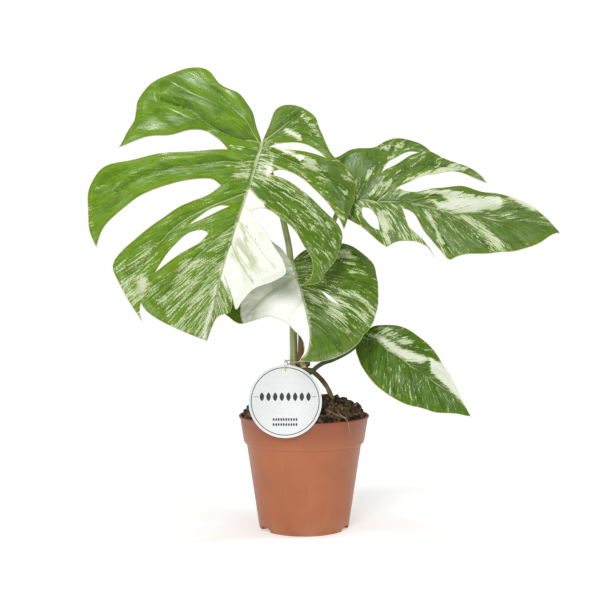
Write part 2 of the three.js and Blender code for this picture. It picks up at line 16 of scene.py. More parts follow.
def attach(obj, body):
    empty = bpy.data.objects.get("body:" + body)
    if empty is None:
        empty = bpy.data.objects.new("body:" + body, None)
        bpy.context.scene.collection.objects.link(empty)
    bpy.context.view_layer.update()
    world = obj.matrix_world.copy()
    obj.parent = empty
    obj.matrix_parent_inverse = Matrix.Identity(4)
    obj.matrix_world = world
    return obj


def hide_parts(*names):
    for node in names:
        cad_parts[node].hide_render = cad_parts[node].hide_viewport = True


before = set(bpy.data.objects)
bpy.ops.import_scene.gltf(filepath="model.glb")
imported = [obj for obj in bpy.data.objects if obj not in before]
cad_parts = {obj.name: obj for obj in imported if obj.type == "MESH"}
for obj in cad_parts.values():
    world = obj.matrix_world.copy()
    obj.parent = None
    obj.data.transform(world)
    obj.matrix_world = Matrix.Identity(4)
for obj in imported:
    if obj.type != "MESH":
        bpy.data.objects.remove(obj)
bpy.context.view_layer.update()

MM = 0.001
SEED = 11

CAMERA_PLACE = (0, -0.975, 0.239)
CAMERA_TILT = 88.03
SENSOR_WIDTH = 36
LENS = 62.76

POT_HEIGHT = 103.5
POT_LIP_RADIUS = 60.0
COLLAR_TOP_RADIUS = 59.0
COLLAR_BOTTOM_RADIUS = 55.6
COLLAR_BOTTOM_Z = 79.5
BODY_TOP_RADIUS = 53.0
BODY_BASE_RADIUS = 41.3
POT_WALL = 1.6
POT_SIDES = 160
DRAIN_ANGLES = (-148, -24, 94)

SOIL_EDGE_RADIUS = 56.4
SOIL_MOUND = 13.0
COARSE_CRUMBS = 760
FINE_CRUMBS = 1500
FIBRES = 330

TAG_RADIUS = 32.0
TAG_THICKNESS = 0.9
TAG_LEAN = 15.0
TAG_CENTRE = (-16.4, -55.67, 19.2)
TAG_HOLE_RADIUS = 1.7
TAG_HOLE_OFFSET = 26.0
PRINT_RING = (29.85, 29.2)
TITLE_HEIGHT = 3.8
SMALL_ROWS = (-16.0, -20.4)
STRING_DIAMETER = 1.2
PLY_PITCH = 3.6
PLY_SIDES = 8


# ---------- camera and twine ----------


def make_camera():
    data = bpy.data.cameras.new("camera")
    data.sensor_width = SENSOR_WIDTH
    data.lens = LENS
    camera = bpy.data.objects.new("camera", data)
    bpy.context.scene.collection.objects.link(camera)
    camera.location = CAMERA_PLACE
    camera.rotation_euler = (math.radians(CAMERA_TILT), 0, 0)
    bpy.context.scene.camera = camera


make_camera()

# The twine: out of the card's hole, over its top, round the stalks and back.
STRING_PATH = [
    (-16.4, -49.4, 44.4), (-16.5, -52, 45.1), (-16.7, -53.2, 47.5), (-16.8, -52.4, 50.7),
    (-16.7, -49.6, 53.3), (-16.4, -45.5, 54.3), (-15.8, -38, 52.5), (-15, -28, 50.1),
    (-15, -17, 49.1), (-15.6, -8, 49.3), (-15.4, -1, 49.7), (-13.6, 4.4, 49.7),
    (-9, 7.6, 49.3), (-3, 9, 48.9), (3, 9, 48.7), (7, 6.4, 48.9), (8, 2, 49.3),
    (6.6, -3, 49.7), (2, -7.6, 49.9), (-5, -12.5, 49.7), (-11, -20, 49.3), (-14, -29, 49.1),
    (-15.4, -37, 48.3), (-16.2, -42.4, 46.1), (-16.4, -45.4, 44.1), (-16.4, -48.6, 44.2),
]

# ---------- stalks and roots, from the rim ----------

# "radii" are those at a stalk's foot and top, "tones" its light and dark green, the dark one
# also painted shade down one side, and "bark" the two distances along it between which the
# cork at its foot turns to green.

STEM_PATH = [(0, 3, -13.5), (-1, 2, 8.5), (-2, 1, 26.5), (-3, 0, 47.5)]
PETIOLES = dict(
    petiole_upper_left=dict(
        path=[
            (-9.5, 0, 34.5), (-9.5, 1, 48.5), (-9.8, 4, 71.5), (-10.5, 9, 101.5), (-13, 12, 145.5),
            (-18, 8, 173.5), (-28, -1, 213.5), (-39.4, -11.6, 246.1),
        ],
        radii=(3.8, 2.4),
        tones=((0.4, 0.45, 0.18), (0.17, 0.215, 0.06)), bark=(4.0, 34.0),
    ),
    petiole_right=dict(
        path=[
            (2.5, 3.5, 45.5), (3, 4.5, 64.5), (8, 12, 96.5), (18, 22, 141.5), (28, 30, 178.5),
            (34.8, 32.2, 193.7),
        ],
        radii=(3.0, 2.2),
        tones=((0.22, 0.27, 0.085), (0.08, 0.125, 0.03)), bark=(6.0, 24.0),
    ),
    petiole_centre=dict(
        path=[
            (-2.5, -2, 42.5), (-3, -2, 71.5), (-5, 0, 101.5), (-9, 2, 126.5), (-11.4, 0.6, 137.5),
        ],
        radii=(2.6, 2.0),
        tones=((0.22, 0.27, 0.085), (0.08, 0.125, 0.03)), bark=(6.0, 24.0),
    ),
    petiole_lower_right=dict(
        path=[
            (0, 1, 33.5), (7, 1, 39.5), (13, 2, 44.5), (19.5, 3, 48), (27, 3, 50.5),
            (42, 1.5, 58.5), (53.8, -1.6, 69.1),
        ],
        radii=(2.2, 1.8),
        tones=((0.075, 0.1, 0.03), (0.03, 0.05, 0.016)), bark=(2.0, 14.0),
    ),
)
AERIAL_ROOT_PATH = [
    (-1, -1, 39.5), (4, -4, 41), (8.5, -6, 39.8), (16.5, -8, 32.5), (22, -9, 24.5),
    (26.5, -10, 13.5), (28, -10.5, 0.5),
]
SURFACE_ROOT_PLAN = [(19, -40), (24, -42.5), (29, -43.5), (33, -43), (37, -41)]
ROOT_HAIR_PATH = [
    (31, -43.4, 6.2), (34, -45.2, 4.4), (36.8, -46.6, 2.2), (38.3, -47.2, 0.6),
    (39.2, -46.9, -2.5), (39.9, -45.9, -6.5), (40.6, -44.8, -11),
]

# ---------- leaf patterns ----------

# A blade is drawn flat: u runs along the midrib from the stalk to the tip, v is the
# distance from it. "outer" is the edge of the first lobe and each split parts two lobes,
# as in the CAD part. "fan" gives the direction in degrees in which the veins leave the
# midrib at each u, and "veins" are the main side veins. Patches are (amount, outline):
# "pale" ones lean the marbling to cream, or to green where the amount is below zero, and
# "haze" ones cloud the cream with grey-green. "folds" are (height, width, line) swellings.
# The skin is cream where its noise and pale patches together pass "threshold".
# "painted_shade_right" darkens the right half's green as painted shade, and "vein_tint" is how
# strongly the veins show.

LEAF_UPPER_LEFT = dict(
    length=200,
    midrib=[
        (-38, -15, 248), (-48, -44, 207), (-58, -66, 172), (-68, -84, 136), (-74, -95, 106),
        (-80, -102, 75),
    ],
    face=(0.35, -0.8, 0.45), back_bend=260,
    folds=[
        (5.4, 8, [(-8, -22), (-14, -48), (-22, -74), (-30, -92)]),
        (-3.6, 4.5, [(4, -16), (4, -44), (-6, -68), (-13, -96)]),
        (3.4, 7, [(14, -44), (8, -72), (2, -94)]), (3.0, 8, [(-22, -20), (-44, -44)]),
        (1.8, 8, [(36, -30), (60, -72), (90, -104)]), (1.8, 8, [(12, 60), (18, 88), (36, 92)]),
        (2.0, 8, [(48, 50), (66, 76), (92, 82)]),
    ],
    rib_width=1.7,
    left=dict(
        fold=8, arch=190,
        outer=[
            (0, 0), (-10, 7), (-31, 18), (-44, 32), (-47, 48), (-63, 66), (-61, 83), (-46, 100),
            (-28, 113), (-8, 119), (18, 115), (37, 117), (51, 120),
        ],
        splits=[
            dict(
                root=10,
                shared=[(18, 14), (25, 28)],
                above=[(18, 40), (13, 51), (17, 65), (27, 80), (35, 98), (51, 120)],
                below=[
                    (37, 50), (53, 82), (67, 105), (79, 125), (96, 131), (116, 126), (134, 117),
                    (146, 106),
                ],
            ),
            dict(
                root=42,
                shared=[(54, 11), (64, 24)],
                above=[(62, 34), (71, 50), (92, 79), (112, 94), (131, 104), (146, 106)],
                below=[
                    (81, 33), (98, 50), (115, 62), (132, 75), (147, 86), (160, 88), (178, 74),
                    (197, 55),
                ],
            ),
            dict(
                root=72,
                shared=[(80, 11)],
                hole=dict(
                    above=[(84, 19), (94, 28), (110, 38)],
                    below=[(88, 18), (100, 28), (110, 38)],
                ),
                rejoin=[(138, 57), (165, 67), (183, 66), (197, 55)],
            ),
            dict(
                root=98,
                shared=[(106, 9), (113, 21)],
                hole=dict(
                    above=[(112, 27), (118, 36), (130, 43), (142, 49), (155, 54)],
                    below=[(124, 26), (137, 38), (155, 54)],
                ),
                rejoin=[(168, 57), (182, 60)],
                above=[(190, 59), (197, 55)],
                below=[(188, 53), (194, 38), (198, 16), (200, 0)],
            ),
        ],
        fan=[
            (-60, 178), (-20, 150), (0, 112), (10, 80), (42, 54), (72, 47), (98, 43), (140, 34),
            (200, 12),
        ],
        veins=[
            [(1, 0), (6, 26), (0, 55), (-11, 86), (-15, 102)], [(0, 4), (-20, 32), (-41, 57)],
            [(21, 0), (31, 14), (51, 47), (76, 84), (100, 106)],
            [(59, 0), (88, 26), (112, 46), (144, 62), (163, 76)],
            [(93, 0), (115, 13), (148, 31), (177, 45)], [(128, 0), (152, 12), (176, 22)],
        ],
    ),
    right=dict(
        fold=10, arch=150,
        outer=[
            (0, 0), (-22, 2), (-44, 4), (-59, 13), (-65, 27), (-58, 42), (-45, 50), (-33, 58),
            (-24, 70), (-20, 84),
        ],
        splits=[
            dict(
                root=8,
                shared=[(3, 7)],
                hole=dict(
                    above=[(-6, 17), (-15, 34), (-18, 52), (-15, 63)],
                    below=[(-2, 21), (-9, 40), (-15, 63)],
                ),
                rejoin=[(-17, 73), (-20, 84)],
                below=[(-18, 96), (0, 104), (24, 101), (45, 99)],
            ),
            dict(
                root=25,
                shared=[(33, 14)],
                above=[(24, 24), (22, 46), (28, 64), (36, 86), (45, 99)],
                below=[
                    (32, 32), (36, 50), (41, 72), (46, 93), (55, 102), (73, 99), (95, 93),
                    (112, 87), (126, 69),
                ],
            ),
            dict(
                root=70,
                shared=[(76, 8)],
                above=[(70, 15), (68, 24), (72, 36), (80, 57), (97, 75), (111, 78), (126, 69)],
                below=[(85, 17), (93, 28), (107, 44), (118, 53), (124, 52)],
            ),
            dict(
                root=138,
                shared=[(143, 3)],
                above=[(154, 10), (169, 18, "corner"), (161, 22), (148, 29), (136, 42), (124, 52)],
                below=[(156, 10), (165, 14), (173, 13), (180, 4), (200, 0)],
            ),
        ],
        fan=[(-60, 178), (-20, 160), (0, 128), (8, 112), (25, 86), (70, 58), (138, 38), (200, 12)],
        veins=[
            [(0, 0), (-30, 16), (-56, 27)], [(6, 0), (8, 30), (7, 78), (12, 97)],
            [(30, 0), (34, 25), (42, 60), (60, 88)], [(52, 0), (64, 20), (70, 50), (92, 82)],
            [(88, 0), (102, 18), (120, 44)], [(112, 0), (130, 16), (142, 28)],
        ],
    ),
    pale=[
        (1.1, [
            (53, -1), (60, 10), (62, 17), (72, 20), (80, 12), (93, 30), (107, 46), (120, 56),
            (140, 44), (160, 24), (173, 18), (154, 8), (145, 1), (142, -1),
        ]),
        (0.3, [(160, -64), (167, -68), (176, -58), (180, -44), (174, -40), (167, -50)]),
        (0.7, [(15, -15), (23, -17), (25, -27), (19, -29)]),
        (0.75, [(-25, 16), (-18, 17), (-17, 34), (-23, 33)]),
        (0.8, [(-4, 8), (3, 13), (4, 38), (-2, 40)]), (0.5, [(-3, 36), (8, 36), (7, 56), (-2, 54)]),
        (0.6, [(6, 58), (10, 60), (9, 94), (5, 92)]),
        (0.35, [(25, 8), (35, 12), (34, 18), (26, 15)]),
        (0.5, [(-4, 2), (52, 2), (48, 15), (10, 15)]),
        (0.4, [(8, -3), (54, -3), (54, -18), (22, -15)]),
        (0.22, [(8, 10), (60, 18), (120, 90), (60, 102), (30, 100)]),
        (-0.5, [(-70, -2), (8, -2), (55, -118), (30, -122), (-70, -90)]),
        (-0.3, [(14, -6), (52, -6), (150, -100), (100, -135), (60, -110)]),
        (0.3, [(26, -4), (46, -4), (52, -24), (36, -26)]),
        (0.28, [(100, -3), (128, -6), (128, -26), (112, -24)]),
        (0.34, [(126, -52), (150, -60), (196, -56), (182, -76), (160, -84), (138, -66)]),
        (0.36, [(126, -2), (200, -1), (196, -34), (176, -44), (142, -34)]),
        (0.42, [(140, 1), (172, 14), (200, 2), (200, -6), (150, -4)]),
        (0.3, [(-60, 30), (-42, 46), (-28, 60), (-28, 50), (-50, 26)]),
    ],
    haze=[
        (1.3, [(92, 4), (124, 4), (132, 20), (120, 26), (104, 14)]),
        (0.5, [(118, 26), (136, 14), (146, 20), (128, 34)]),
        (0.45, [(74, 4), (90, 6), (98, 24), (88, 20)]),
    ],
    green=((0.055, 0.14, 0.004), (0.135, 0.26, 0.006)),
    threshold=0.655, white=(0.82, 0.84, 0.74), painted_shade_right=0.4, vein_tint=0.8, gloss=0.38,
)

LEAF_RIGHT = dict(
    length=205,
    midrib=[
        (35, 30, 196.5), (62, 28, 198), (90, 24, 196), (127, 18, 189), (163, 10, 181.5),
        (199, 2, 176), (233, -8, 167.5),
    ],
    face=(0.05, -0.64, 0.77), back_bend=250, rib_width=1.3,
    left=dict(
        fold=10, arch=120,
        outer=[(0, 0), (-8, 8), (-4, 19), (5, 28), (23, 44), (40, 56), (52, 63)],
        splits=[
            dict(
                root=12,
                shared=[(20, 12)],
                hole=dict(
                    above=[(21, 26), (31, 40), (41, 45)],
                    below=[(28, 16), (37, 31), (41, 45)],
                ),
                rejoin=[(46, 55), (52, 63)],
                below=[(66, 55), (80, 52), (95, 57)],
            ),
            dict(
                root=48,
                shared=[(59, 11)],
                above=[(64, 22), (71, 36), (84, 47), (95, 57)],
                below=[
                    (72, 18), (86, 40), (106, 56), (116, 64), (122, 60), (137, 52), (155, 48),
                    (166, 45), (186, 33), (199, 11), (205, 0),
                ],
            ),
        ],
        fan=[(-20, 172), (0, 108), (12, 64), (48, 52), (120, 40), (205, 12)],
        veins=[
            [(4, 0), (8, 20), (20, 38)], [(30, 0), (46, 26), (62, 48)],
            [(70, 0), (92, 28), (116, 58)], [(104, 0), (128, 26), (146, 46)],
            [(140, 0), (164, 20), (180, 34)],
        ],
    ),
    right=dict(
        fold=14, arch=420,
        outer=[
            (0, 0), (-10, 3), (-19, 14), (-22, 34), (-14, 52), (-3, 62), (11, 69), (26, 74),
            (36, 86), (47, 92), (60, 89), (72, 76),
        ],
        splits=[
            dict(
                root=24,
                shared=[(30, 18), (36, 36)],
                hole=dict(
                    above=[(40, 54), (48, 65), (55, 71), (63, 72)],
                    below=[(49, 55), (57, 66), (63, 72)],
                ),
                rejoin=[(72, 76)],
                below=[(87, 69), (103, 67), (120, 56), (130, 46)],
            ),
            dict(
                root=42,
                shared=[(50, 17)],
                above=[(60, 29), (76, 43), (102, 53), (130, 46)],
                below=[(66, 16), (88, 27), (114, 35), (148, 31), (170, 26), (186, 14), (205, 0)],
            ),
        ],
        fan=[(-30, 176), (-5, 140), (0, 112), (24, 68), (42, 50), (110, 26), (205, 8)],
        veins=[
            [(3, 0), (-4, 30), (4, 60)], [(14, 0), (26, 34), (42, 76)],
            [(34, 0), (46, 28), (66, 54), (102, 60)], [(60, 0), (90, 18), (130, 26)],
            [(108, 0), (138, 14), (168, 18)],
        ],
    ),
    pale=[
        (0.62, [
            (50, 24), (62, 36), (78, 50), (96, 61), (108, 65), (105, 57), (86, 46), (70, 34),
            (58, 24),
        ]),
        (0.6, [(27, 7), (33, 8), (45, 22), (44, 28), (34, 20)]),
        (0.5, [(44, 6), (64, 10), (60, 24), (48, 14)]),
        (0.8, [
            (66, 14), (80, 22), (100, 28), (126, 32), (146, 31), (150, 18), (140, 10), (126, 5),
            (108, 1), (92, 2), (84, 9),
        ]),
        (0.36, [(136, 4), (150, 31), (176, 26), (192, 12), (176, 5)]),
        (-1.3, [(94, 27), (108, 36), (150, 35), (150, 29), (122, 27)]),
        (-0.7, [(58, 7), (82, 10), (96, 16), (90, 20), (72, 16)]),
        (-0.9, [(82, 11), (86, 17), (94, 15), (99, 12), (92, 9)]),
        (-0.45, [(128, 8), (144, 19), (160, 24), (173, 20), (158, 12), (143, 7)]),
        (0.5, [(156, 29), (166, 32), (182, 22), (176, 17), (160, 25)]),
        (-0.7, [(158, 6), (178, 6), (186, 14), (166, 16)]),
        (0.8, [(79, -5), (87, -14), (97, -32), (108, -47), (104, -50), (93, -32), (84, -18)]),
        (0.55, [
            (108, -4), (122, -14), (138, -30), (152, -46), (162, -47), (156, -36), (138, -18),
            (124, -5),
        ]),
        (0.6, [(34, -14), (42, -18), (49, -40), (56, -60), (50, -62), (43, -44), (37, -30)]),
        (0.26, [(-4, -2), (30, -4), (36, -40), (6, -24)]),
        (0.25, [(40, -6), (60, -8), (90, -56), (64, -54), (46, -40)]),
        (-0.35, [(150, -1), (205, -1), (196, -20), (170, -44), (160, -30)]),
        (-0.35, [(-20, 6), (10, 20), (36, 60), (30, 76), (-24, 50)]),
    ],
    haze=[
        (0.4, [(-6, -2), (24, -4), (28, -30), (4, -24)]),
        (0.9, [(58, 9), (74, 22), (102, 30), (142, 34), (138, 25), (104, 20), (76, 12)]),
    ],
    green=((0.038, 0.095, 0.008), (0.1, 0.185, 0.016)),
    threshold=0.637, white=(0.62, 0.65, 0.53), painted_shade_right=0.1, vein_tint=0.35, gloss=0.28,
)

LEAF_CENTRE = dict(
    length=116,
    midrib=[
        (-11, -2, 140.5), (-4.5, -22, 119.5), (1, -38, 100.5), (4.5, -54, 81), (3.5, -66, 64.5),
        (-4.5, -74, 55),
    ],
    face=(0.1, -0.72, 0.69), back_bend=200, rib_width=1.0,
    left=dict(
        fold=12, arch=110,
        outer=[
            (0, 0), (-13, 6), (-38, 17), (-46, 34), (-34, 56), (-6, 70), (26, 76), (50, 71),
            (66, 61, "corner"), (67, 50), (65, 36),
        ],
        splits=[
            dict(
                root=26,
                shared=[(42, 16), (65, 36)],
                below=[(72, 21), (83, 13), (96, 5), (116, 0)],
            ),
        ],
        fan=[(-50, 178), (-10, 140), (0, 110), (26, 56), (60, 40), (116, 14)],
        veins=[
            [(2, 0), (-10, 26), (-26, 48)], [(10, 0), (18, 34), (20, 66)],
            [(20, 0), (36, 28), (56, 52)], [(46, 0), (62, 12), (74, 18)],
        ],
    ),
    right=dict(
        fold=12, arch=120,
        outer=[
            (0, 0), (-11, 12), (-17, 30), (-18, 53), (-11, 72), (4, 80), (21, 78), (50, 71),
            (73, 59), (84, 48),
        ],
        splits=[
            dict(
                root=30,
                shared=[(41, 17)],
                hole=dict(above=[(48, 25), (58, 31)], below=[(51, 23), (58, 31)]),
                rejoin=[(70, 40), (84, 48)],
                below=[(91, 43), (99, 32), (107, 14), (116, 0)],
            ),
        ],
        fan=[(-30, 175), (0, 108), (12, 76), (30, 52), (70, 38), (116, 14)],
        veins=[
            [(2, 0), (-2, 36), (-4, 66)], [(12, 0), (24, 38), (34, 70)],
            [(24, 0), (44, 28), (68, 56)], [(44, 0), (66, 26), (88, 42)],
            [(68, 0), (86, 16), (98, 28)],
        ],
    ),
    pale=[
        (1.2, [(-60, 0.6), (118, 0.6), (118, -80), (-60, -90)]),
        (-2.6, [(69, -58), (56, -59), (40, -57), (34, -66), (48, -75), (64, -72), (71, -64)]),
        (0.3, [(43, 7), (56, 13), (72, 23), (85, 32), (85, 39), (70, 33), (57, 26), (47, 17)]),
        (0.3, [(56, 56), (66, 55), (70, 62), (58, 68)]),
        (0.4, [(-9, 46), (0, 44), (6, 62), (-4, 68)]),
        (0.14, [(36, 6), (60, 28), (76, 52), (60, 60), (34, 40)]),
        (-0.3, [(76, 4), (112, 2), (98, 36), (86, 34)]),
        (0.08, [(-16, 4), (100, 4), (96, 50), (40, 80), (-16, 76)]),
    ],
    haze=[
        (0.6, [
            (67, -46), (67, -60), (46, -64), (26, -46), (17, -26), (14, -3), (36, -3),
            (37, -16), (42, -32), (52, -42),
        ]),
        (0.9, [(2, -1), (20, -1), (24, -14), (6, -16)]),
    ],
    green=((0.038, 0.095, 0.005), (0.1, 0.19, 0.01)),
    # Its cream is brighter than the upper left leaf's as painted light, lifting the shade that leaf
    # casts on it.
    threshold=0.64, white=(0.9, 0.91, 0.83), painted_shade_right=0.1, vein_tint=0.35, gloss=0.26,
)

LEAF_LOWER_RIGHT = dict(
    length=126,
    midrib=[
        (53, -4, 72), (69, -14, 66), (86.5, -24, 54), (107.5, -36, 39), (128, -48, 24.5),
        (145, -58, 6),
    ],
    face=(0, -0.7, 0.7), back_bend=120, rib_width=0.9,
    left=dict(
        fold=12, arch=110,
        outer=[
            (0, 0), (5, 18), (18, 30), (34, 37), (52, 40), (74, 38), (101, 28), (120, 9), (126, 0),
        ],
        splits=[],
        fan=[(-6, 160), (0, 84), (30, 52), (70, 40), (126, 14)],
        veins=[
            [(6, 0), (18, 16), (36, 34)], [(28, 0), (46, 20), (66, 36)],
            [(54, 0), (74, 18), (92, 30)], [(82, 0), (98, 11), (110, 18)],
        ],
    ),
    right=dict(
        fold=14, arch=90,
        outer=[
            (0, 0), (5, 16), (19, 25), (39, 29), (62, 26), (84, 16), (105, 5.5), (119, 1.6),
            (126, 0),
        ],
        splits=[],
        fan=[(-6, 160), (0, 80), (30, 46), (70, 32), (126, 10)],
        veins=[
            [(6, 0), (18, 12), (34, 26)], [(28, 0), (44, 14), (62, 24)],
            [(54, 0), (72, 10), (90, 14)],
        ],
    ),
    pale=[
        (0.85, [
            (4, 4), (12, 9), (23, 7), (38, 9), (53, 13), (66, 18), (60, 7), (49, 1), (35, 0),
            (12, 2),
        ]),
        (0.5, [(5, 12), (11, 20), (34, 19), (50, 20), (40, 13), (16, 9)]),
        (-0.08, [(14, 12), (24, 24), (40, 28), (54, 25), (48, 18), (30, 13)]),
        (1.0, [
            (64, 17), (74, 21), (90, 15), (105, 7), (118, 2), (106, 2), (90, 3), (74, 6),
            (68, 11),
        ]),
        (-0.5, [(58, 3), (65, 11), (72, 6), (69, 0)]),
        (-0.2, [(2, -3), (30, -6), (34, -30), (14, -26)]),
        (0.1, [(44, -8), (84, -8), (80, -36), (52, -36)]),
    ],
    haze=[(0.4, [(20, 4), (60, 4), (60, 10), (24, 12)])],
    green=((0.032, 0.088, 0.003), (0.078, 0.165, 0.006)),
    threshold=0.66, white=(0.66, 0.69, 0.56), painted_shade_right=0.1, vein_tint=0.3, gloss=0.22,
)

LEAVES = {
    "leaf_upper_left": LEAF_UPPER_LEFT,
    "leaf_right": LEAF_RIGHT,
    "leaf_centre": LEAF_CENTRE,
    "leaf_lower_right": LEAF_LOWER_RIGHT,
}

BLADE_STEP = 1.4
BLADE_THICKNESS = 0.5
PALE_BORDER = 2.6
HAZE_BORDER = 4.5
CREASE_ANGLE = 50


# ---------- general mesh helpers ----------


def rim(point):
    """A place measured from the pot's rim, in metres in the frame."""
    x, y, z = point
    return Vector((x, y, z + POT_HEIGHT)) * MM


def add_mesh(name, verts, faces, smooth=True):
    """A mesh object from metre coordinates."""
    mesh = bpy.data.meshes.new(name)
    mesh.from_pydata([tuple(v) for v in verts], [], [tuple(f) for f in faces])
    mesh.update()
    if smooth:
        mesh.shade_smooth()
    obj = bpy.data.objects.new(name, mesh)
    bpy.context.scene.collection.objects.link(obj)
    return obj


def give_attribute(obj, name, values):
    """Stores one vector (three numbers) for each vertex."""
    attribute = obj.data.attributes.new(name, "FLOAT_VECTOR", "POINT")
    attribute.data.foreach_set("vector", np.asarray(values, np.float32).ravel())


def settle(obj, material, replaced=()):
    """Puts the finish on a piece and hands it to the frame."""
    obj.data.materials.clear()
    obj.data.materials.append(material)
    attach(obj, "root")
    if replaced:
        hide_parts(*replaced)
    return obj


def catmull(points, mirror, per_span=24):
    """Dense points on a Catmull-Rom curve. mirror extends its ends by reflection."""
    pts = np.asarray([p[:3] if mirror else p[:2] for p in points], float)
    first = 2 * pts[0] - pts[1] if mirror else pts[0]
    last = 2 * pts[-1] - pts[-2] if mirror else pts[-1]
    ctrl = np.vstack([first, pts, last])
    t = np.linspace(0, 1, per_span, endpoint=False)[:, None]
    spans = []
    for i in range(1, len(ctrl) - 2):
        a, b, c, d = ctrl[i - 1 : i + 3]
        cubic = -a + 3 * b - 3 * c + d
        square = 2 * a - 5 * b + 4 * c - d
        spans.append(0.5 * (2 * b + (c - a) * t + square * t**2 + cubic * t**3))
    return np.vstack([*spans, pts[-1:]])


def arc_lengths(line):
    return np.concatenate([[0], np.cumsum(np.linalg.norm(np.diff(line, axis=0), axis=1))])


def resample(line, count):
    """count + 1 evenly spaced points on a dense line."""
    run = arc_lengths(line)
    want = np.linspace(0, run[-1], count + 1)
    return np.stack([np.interp(want, run, line[:, k]) for k in range(line.shape[1])], axis=1)


def line_length(line):
    return arc_lengths(line)[-1]


def carried_frames(line, start=(1, 0, 0)):
    """Tangent, normal and binormal at each point, carried along without twisting."""
    tangents = np.gradient(line, axis=0)
    tangents /= np.linalg.norm(tangents, axis=1)[:, None]
    normal = np.asarray(start, float)
    normals = []
    for tangent in tangents:
        normal = normal - tangent * (normal @ tangent)
        normal = normal / np.linalg.norm(normal)
        normals.append(normal)
    normals = np.array(normals)
    return tangents, normals, np.cross(tangents, normals)


ROUND_END = [(0.3, 0.95), (0.75, 0.66), (1.0, 0.0)]
END_REACH = 0.6


def ring_quads(rings, sides):
    """Quads between rings of vertices that follow one another."""
    quads = []
    for here in range(0, (rings - 1) * sides, sides):
        for side in range(sides):
            after = (side + 1) % sides
            quads.append((here + side, here + after, here + sides + after, here + sides + side))
    return quads


def tube(path, radius_at, sides=20, step=1.2, start=(1, 0, 0)):
    """Rows of points, quads and (cos, sin, along) for a closed tube with round ends.

    radius_at(share, angle) is in millimetres.
    """
    dense = catmull(path, True)
    rows = max(6, round(line_length(dense) / step))
    line = resample(dense, rows)
    run = arc_lengths(line)
    tangents, normals, binormals = carried_frames(line, start)
    verts, marks = [], []
    angles = [2 * math.pi * side / sides for side in range(sides)]
    rings = [(0, -out, size) for out, size in reversed(ROUND_END)]
    rings += [(i, 0.0, 1.0) for i in range(rows + 1)]
    rings += [(rows, out, size) for out, size in ROUND_END]
    for index, out, size in rings:
        share = index / rows
        for angle in angles:
            radius = radius_at(share, angle)
            sideways = math.cos(angle) * normals[index] + math.sin(angle) * binormals[index]
            cap = END_REACH * radius * out
            verts.append(line[index] + sideways * radius * max(size, 0.02) + tangents[index] * cap)
            marks.append((math.cos(angle), math.sin(angle), run[index]))
    faces = ring_quads(len(rings), sides)
    faces.append(tuple(reversed(range(sides))))
    faces.append(tuple(range((len(rings) - 1) * sides, len(rings) * sides)))
    return verts, faces, marks


def add_tube(name, path, radius_at, sides=20, step=1.2, start=(1, 0, 0)):
    verts, faces, marks = tube(path, radius_at, sides, step, start)
    obj = add_mesh(name, [rim(v) for v in verts], faces)
    give_attribute(obj, "around", marks)
    return obj


def circle(radius, count, centre=(0.0, 0.0)):
    angles = [2 * math.pi * k / count for k in range(count)]
    return [(centre[0] + radius * math.cos(a), centre[1] + radius * math.sin(a)) for a in angles]


def bell(value, centre, width):
    return math.exp(-(((value - centre) / width) ** 2))


# ---------- node helpers ----------


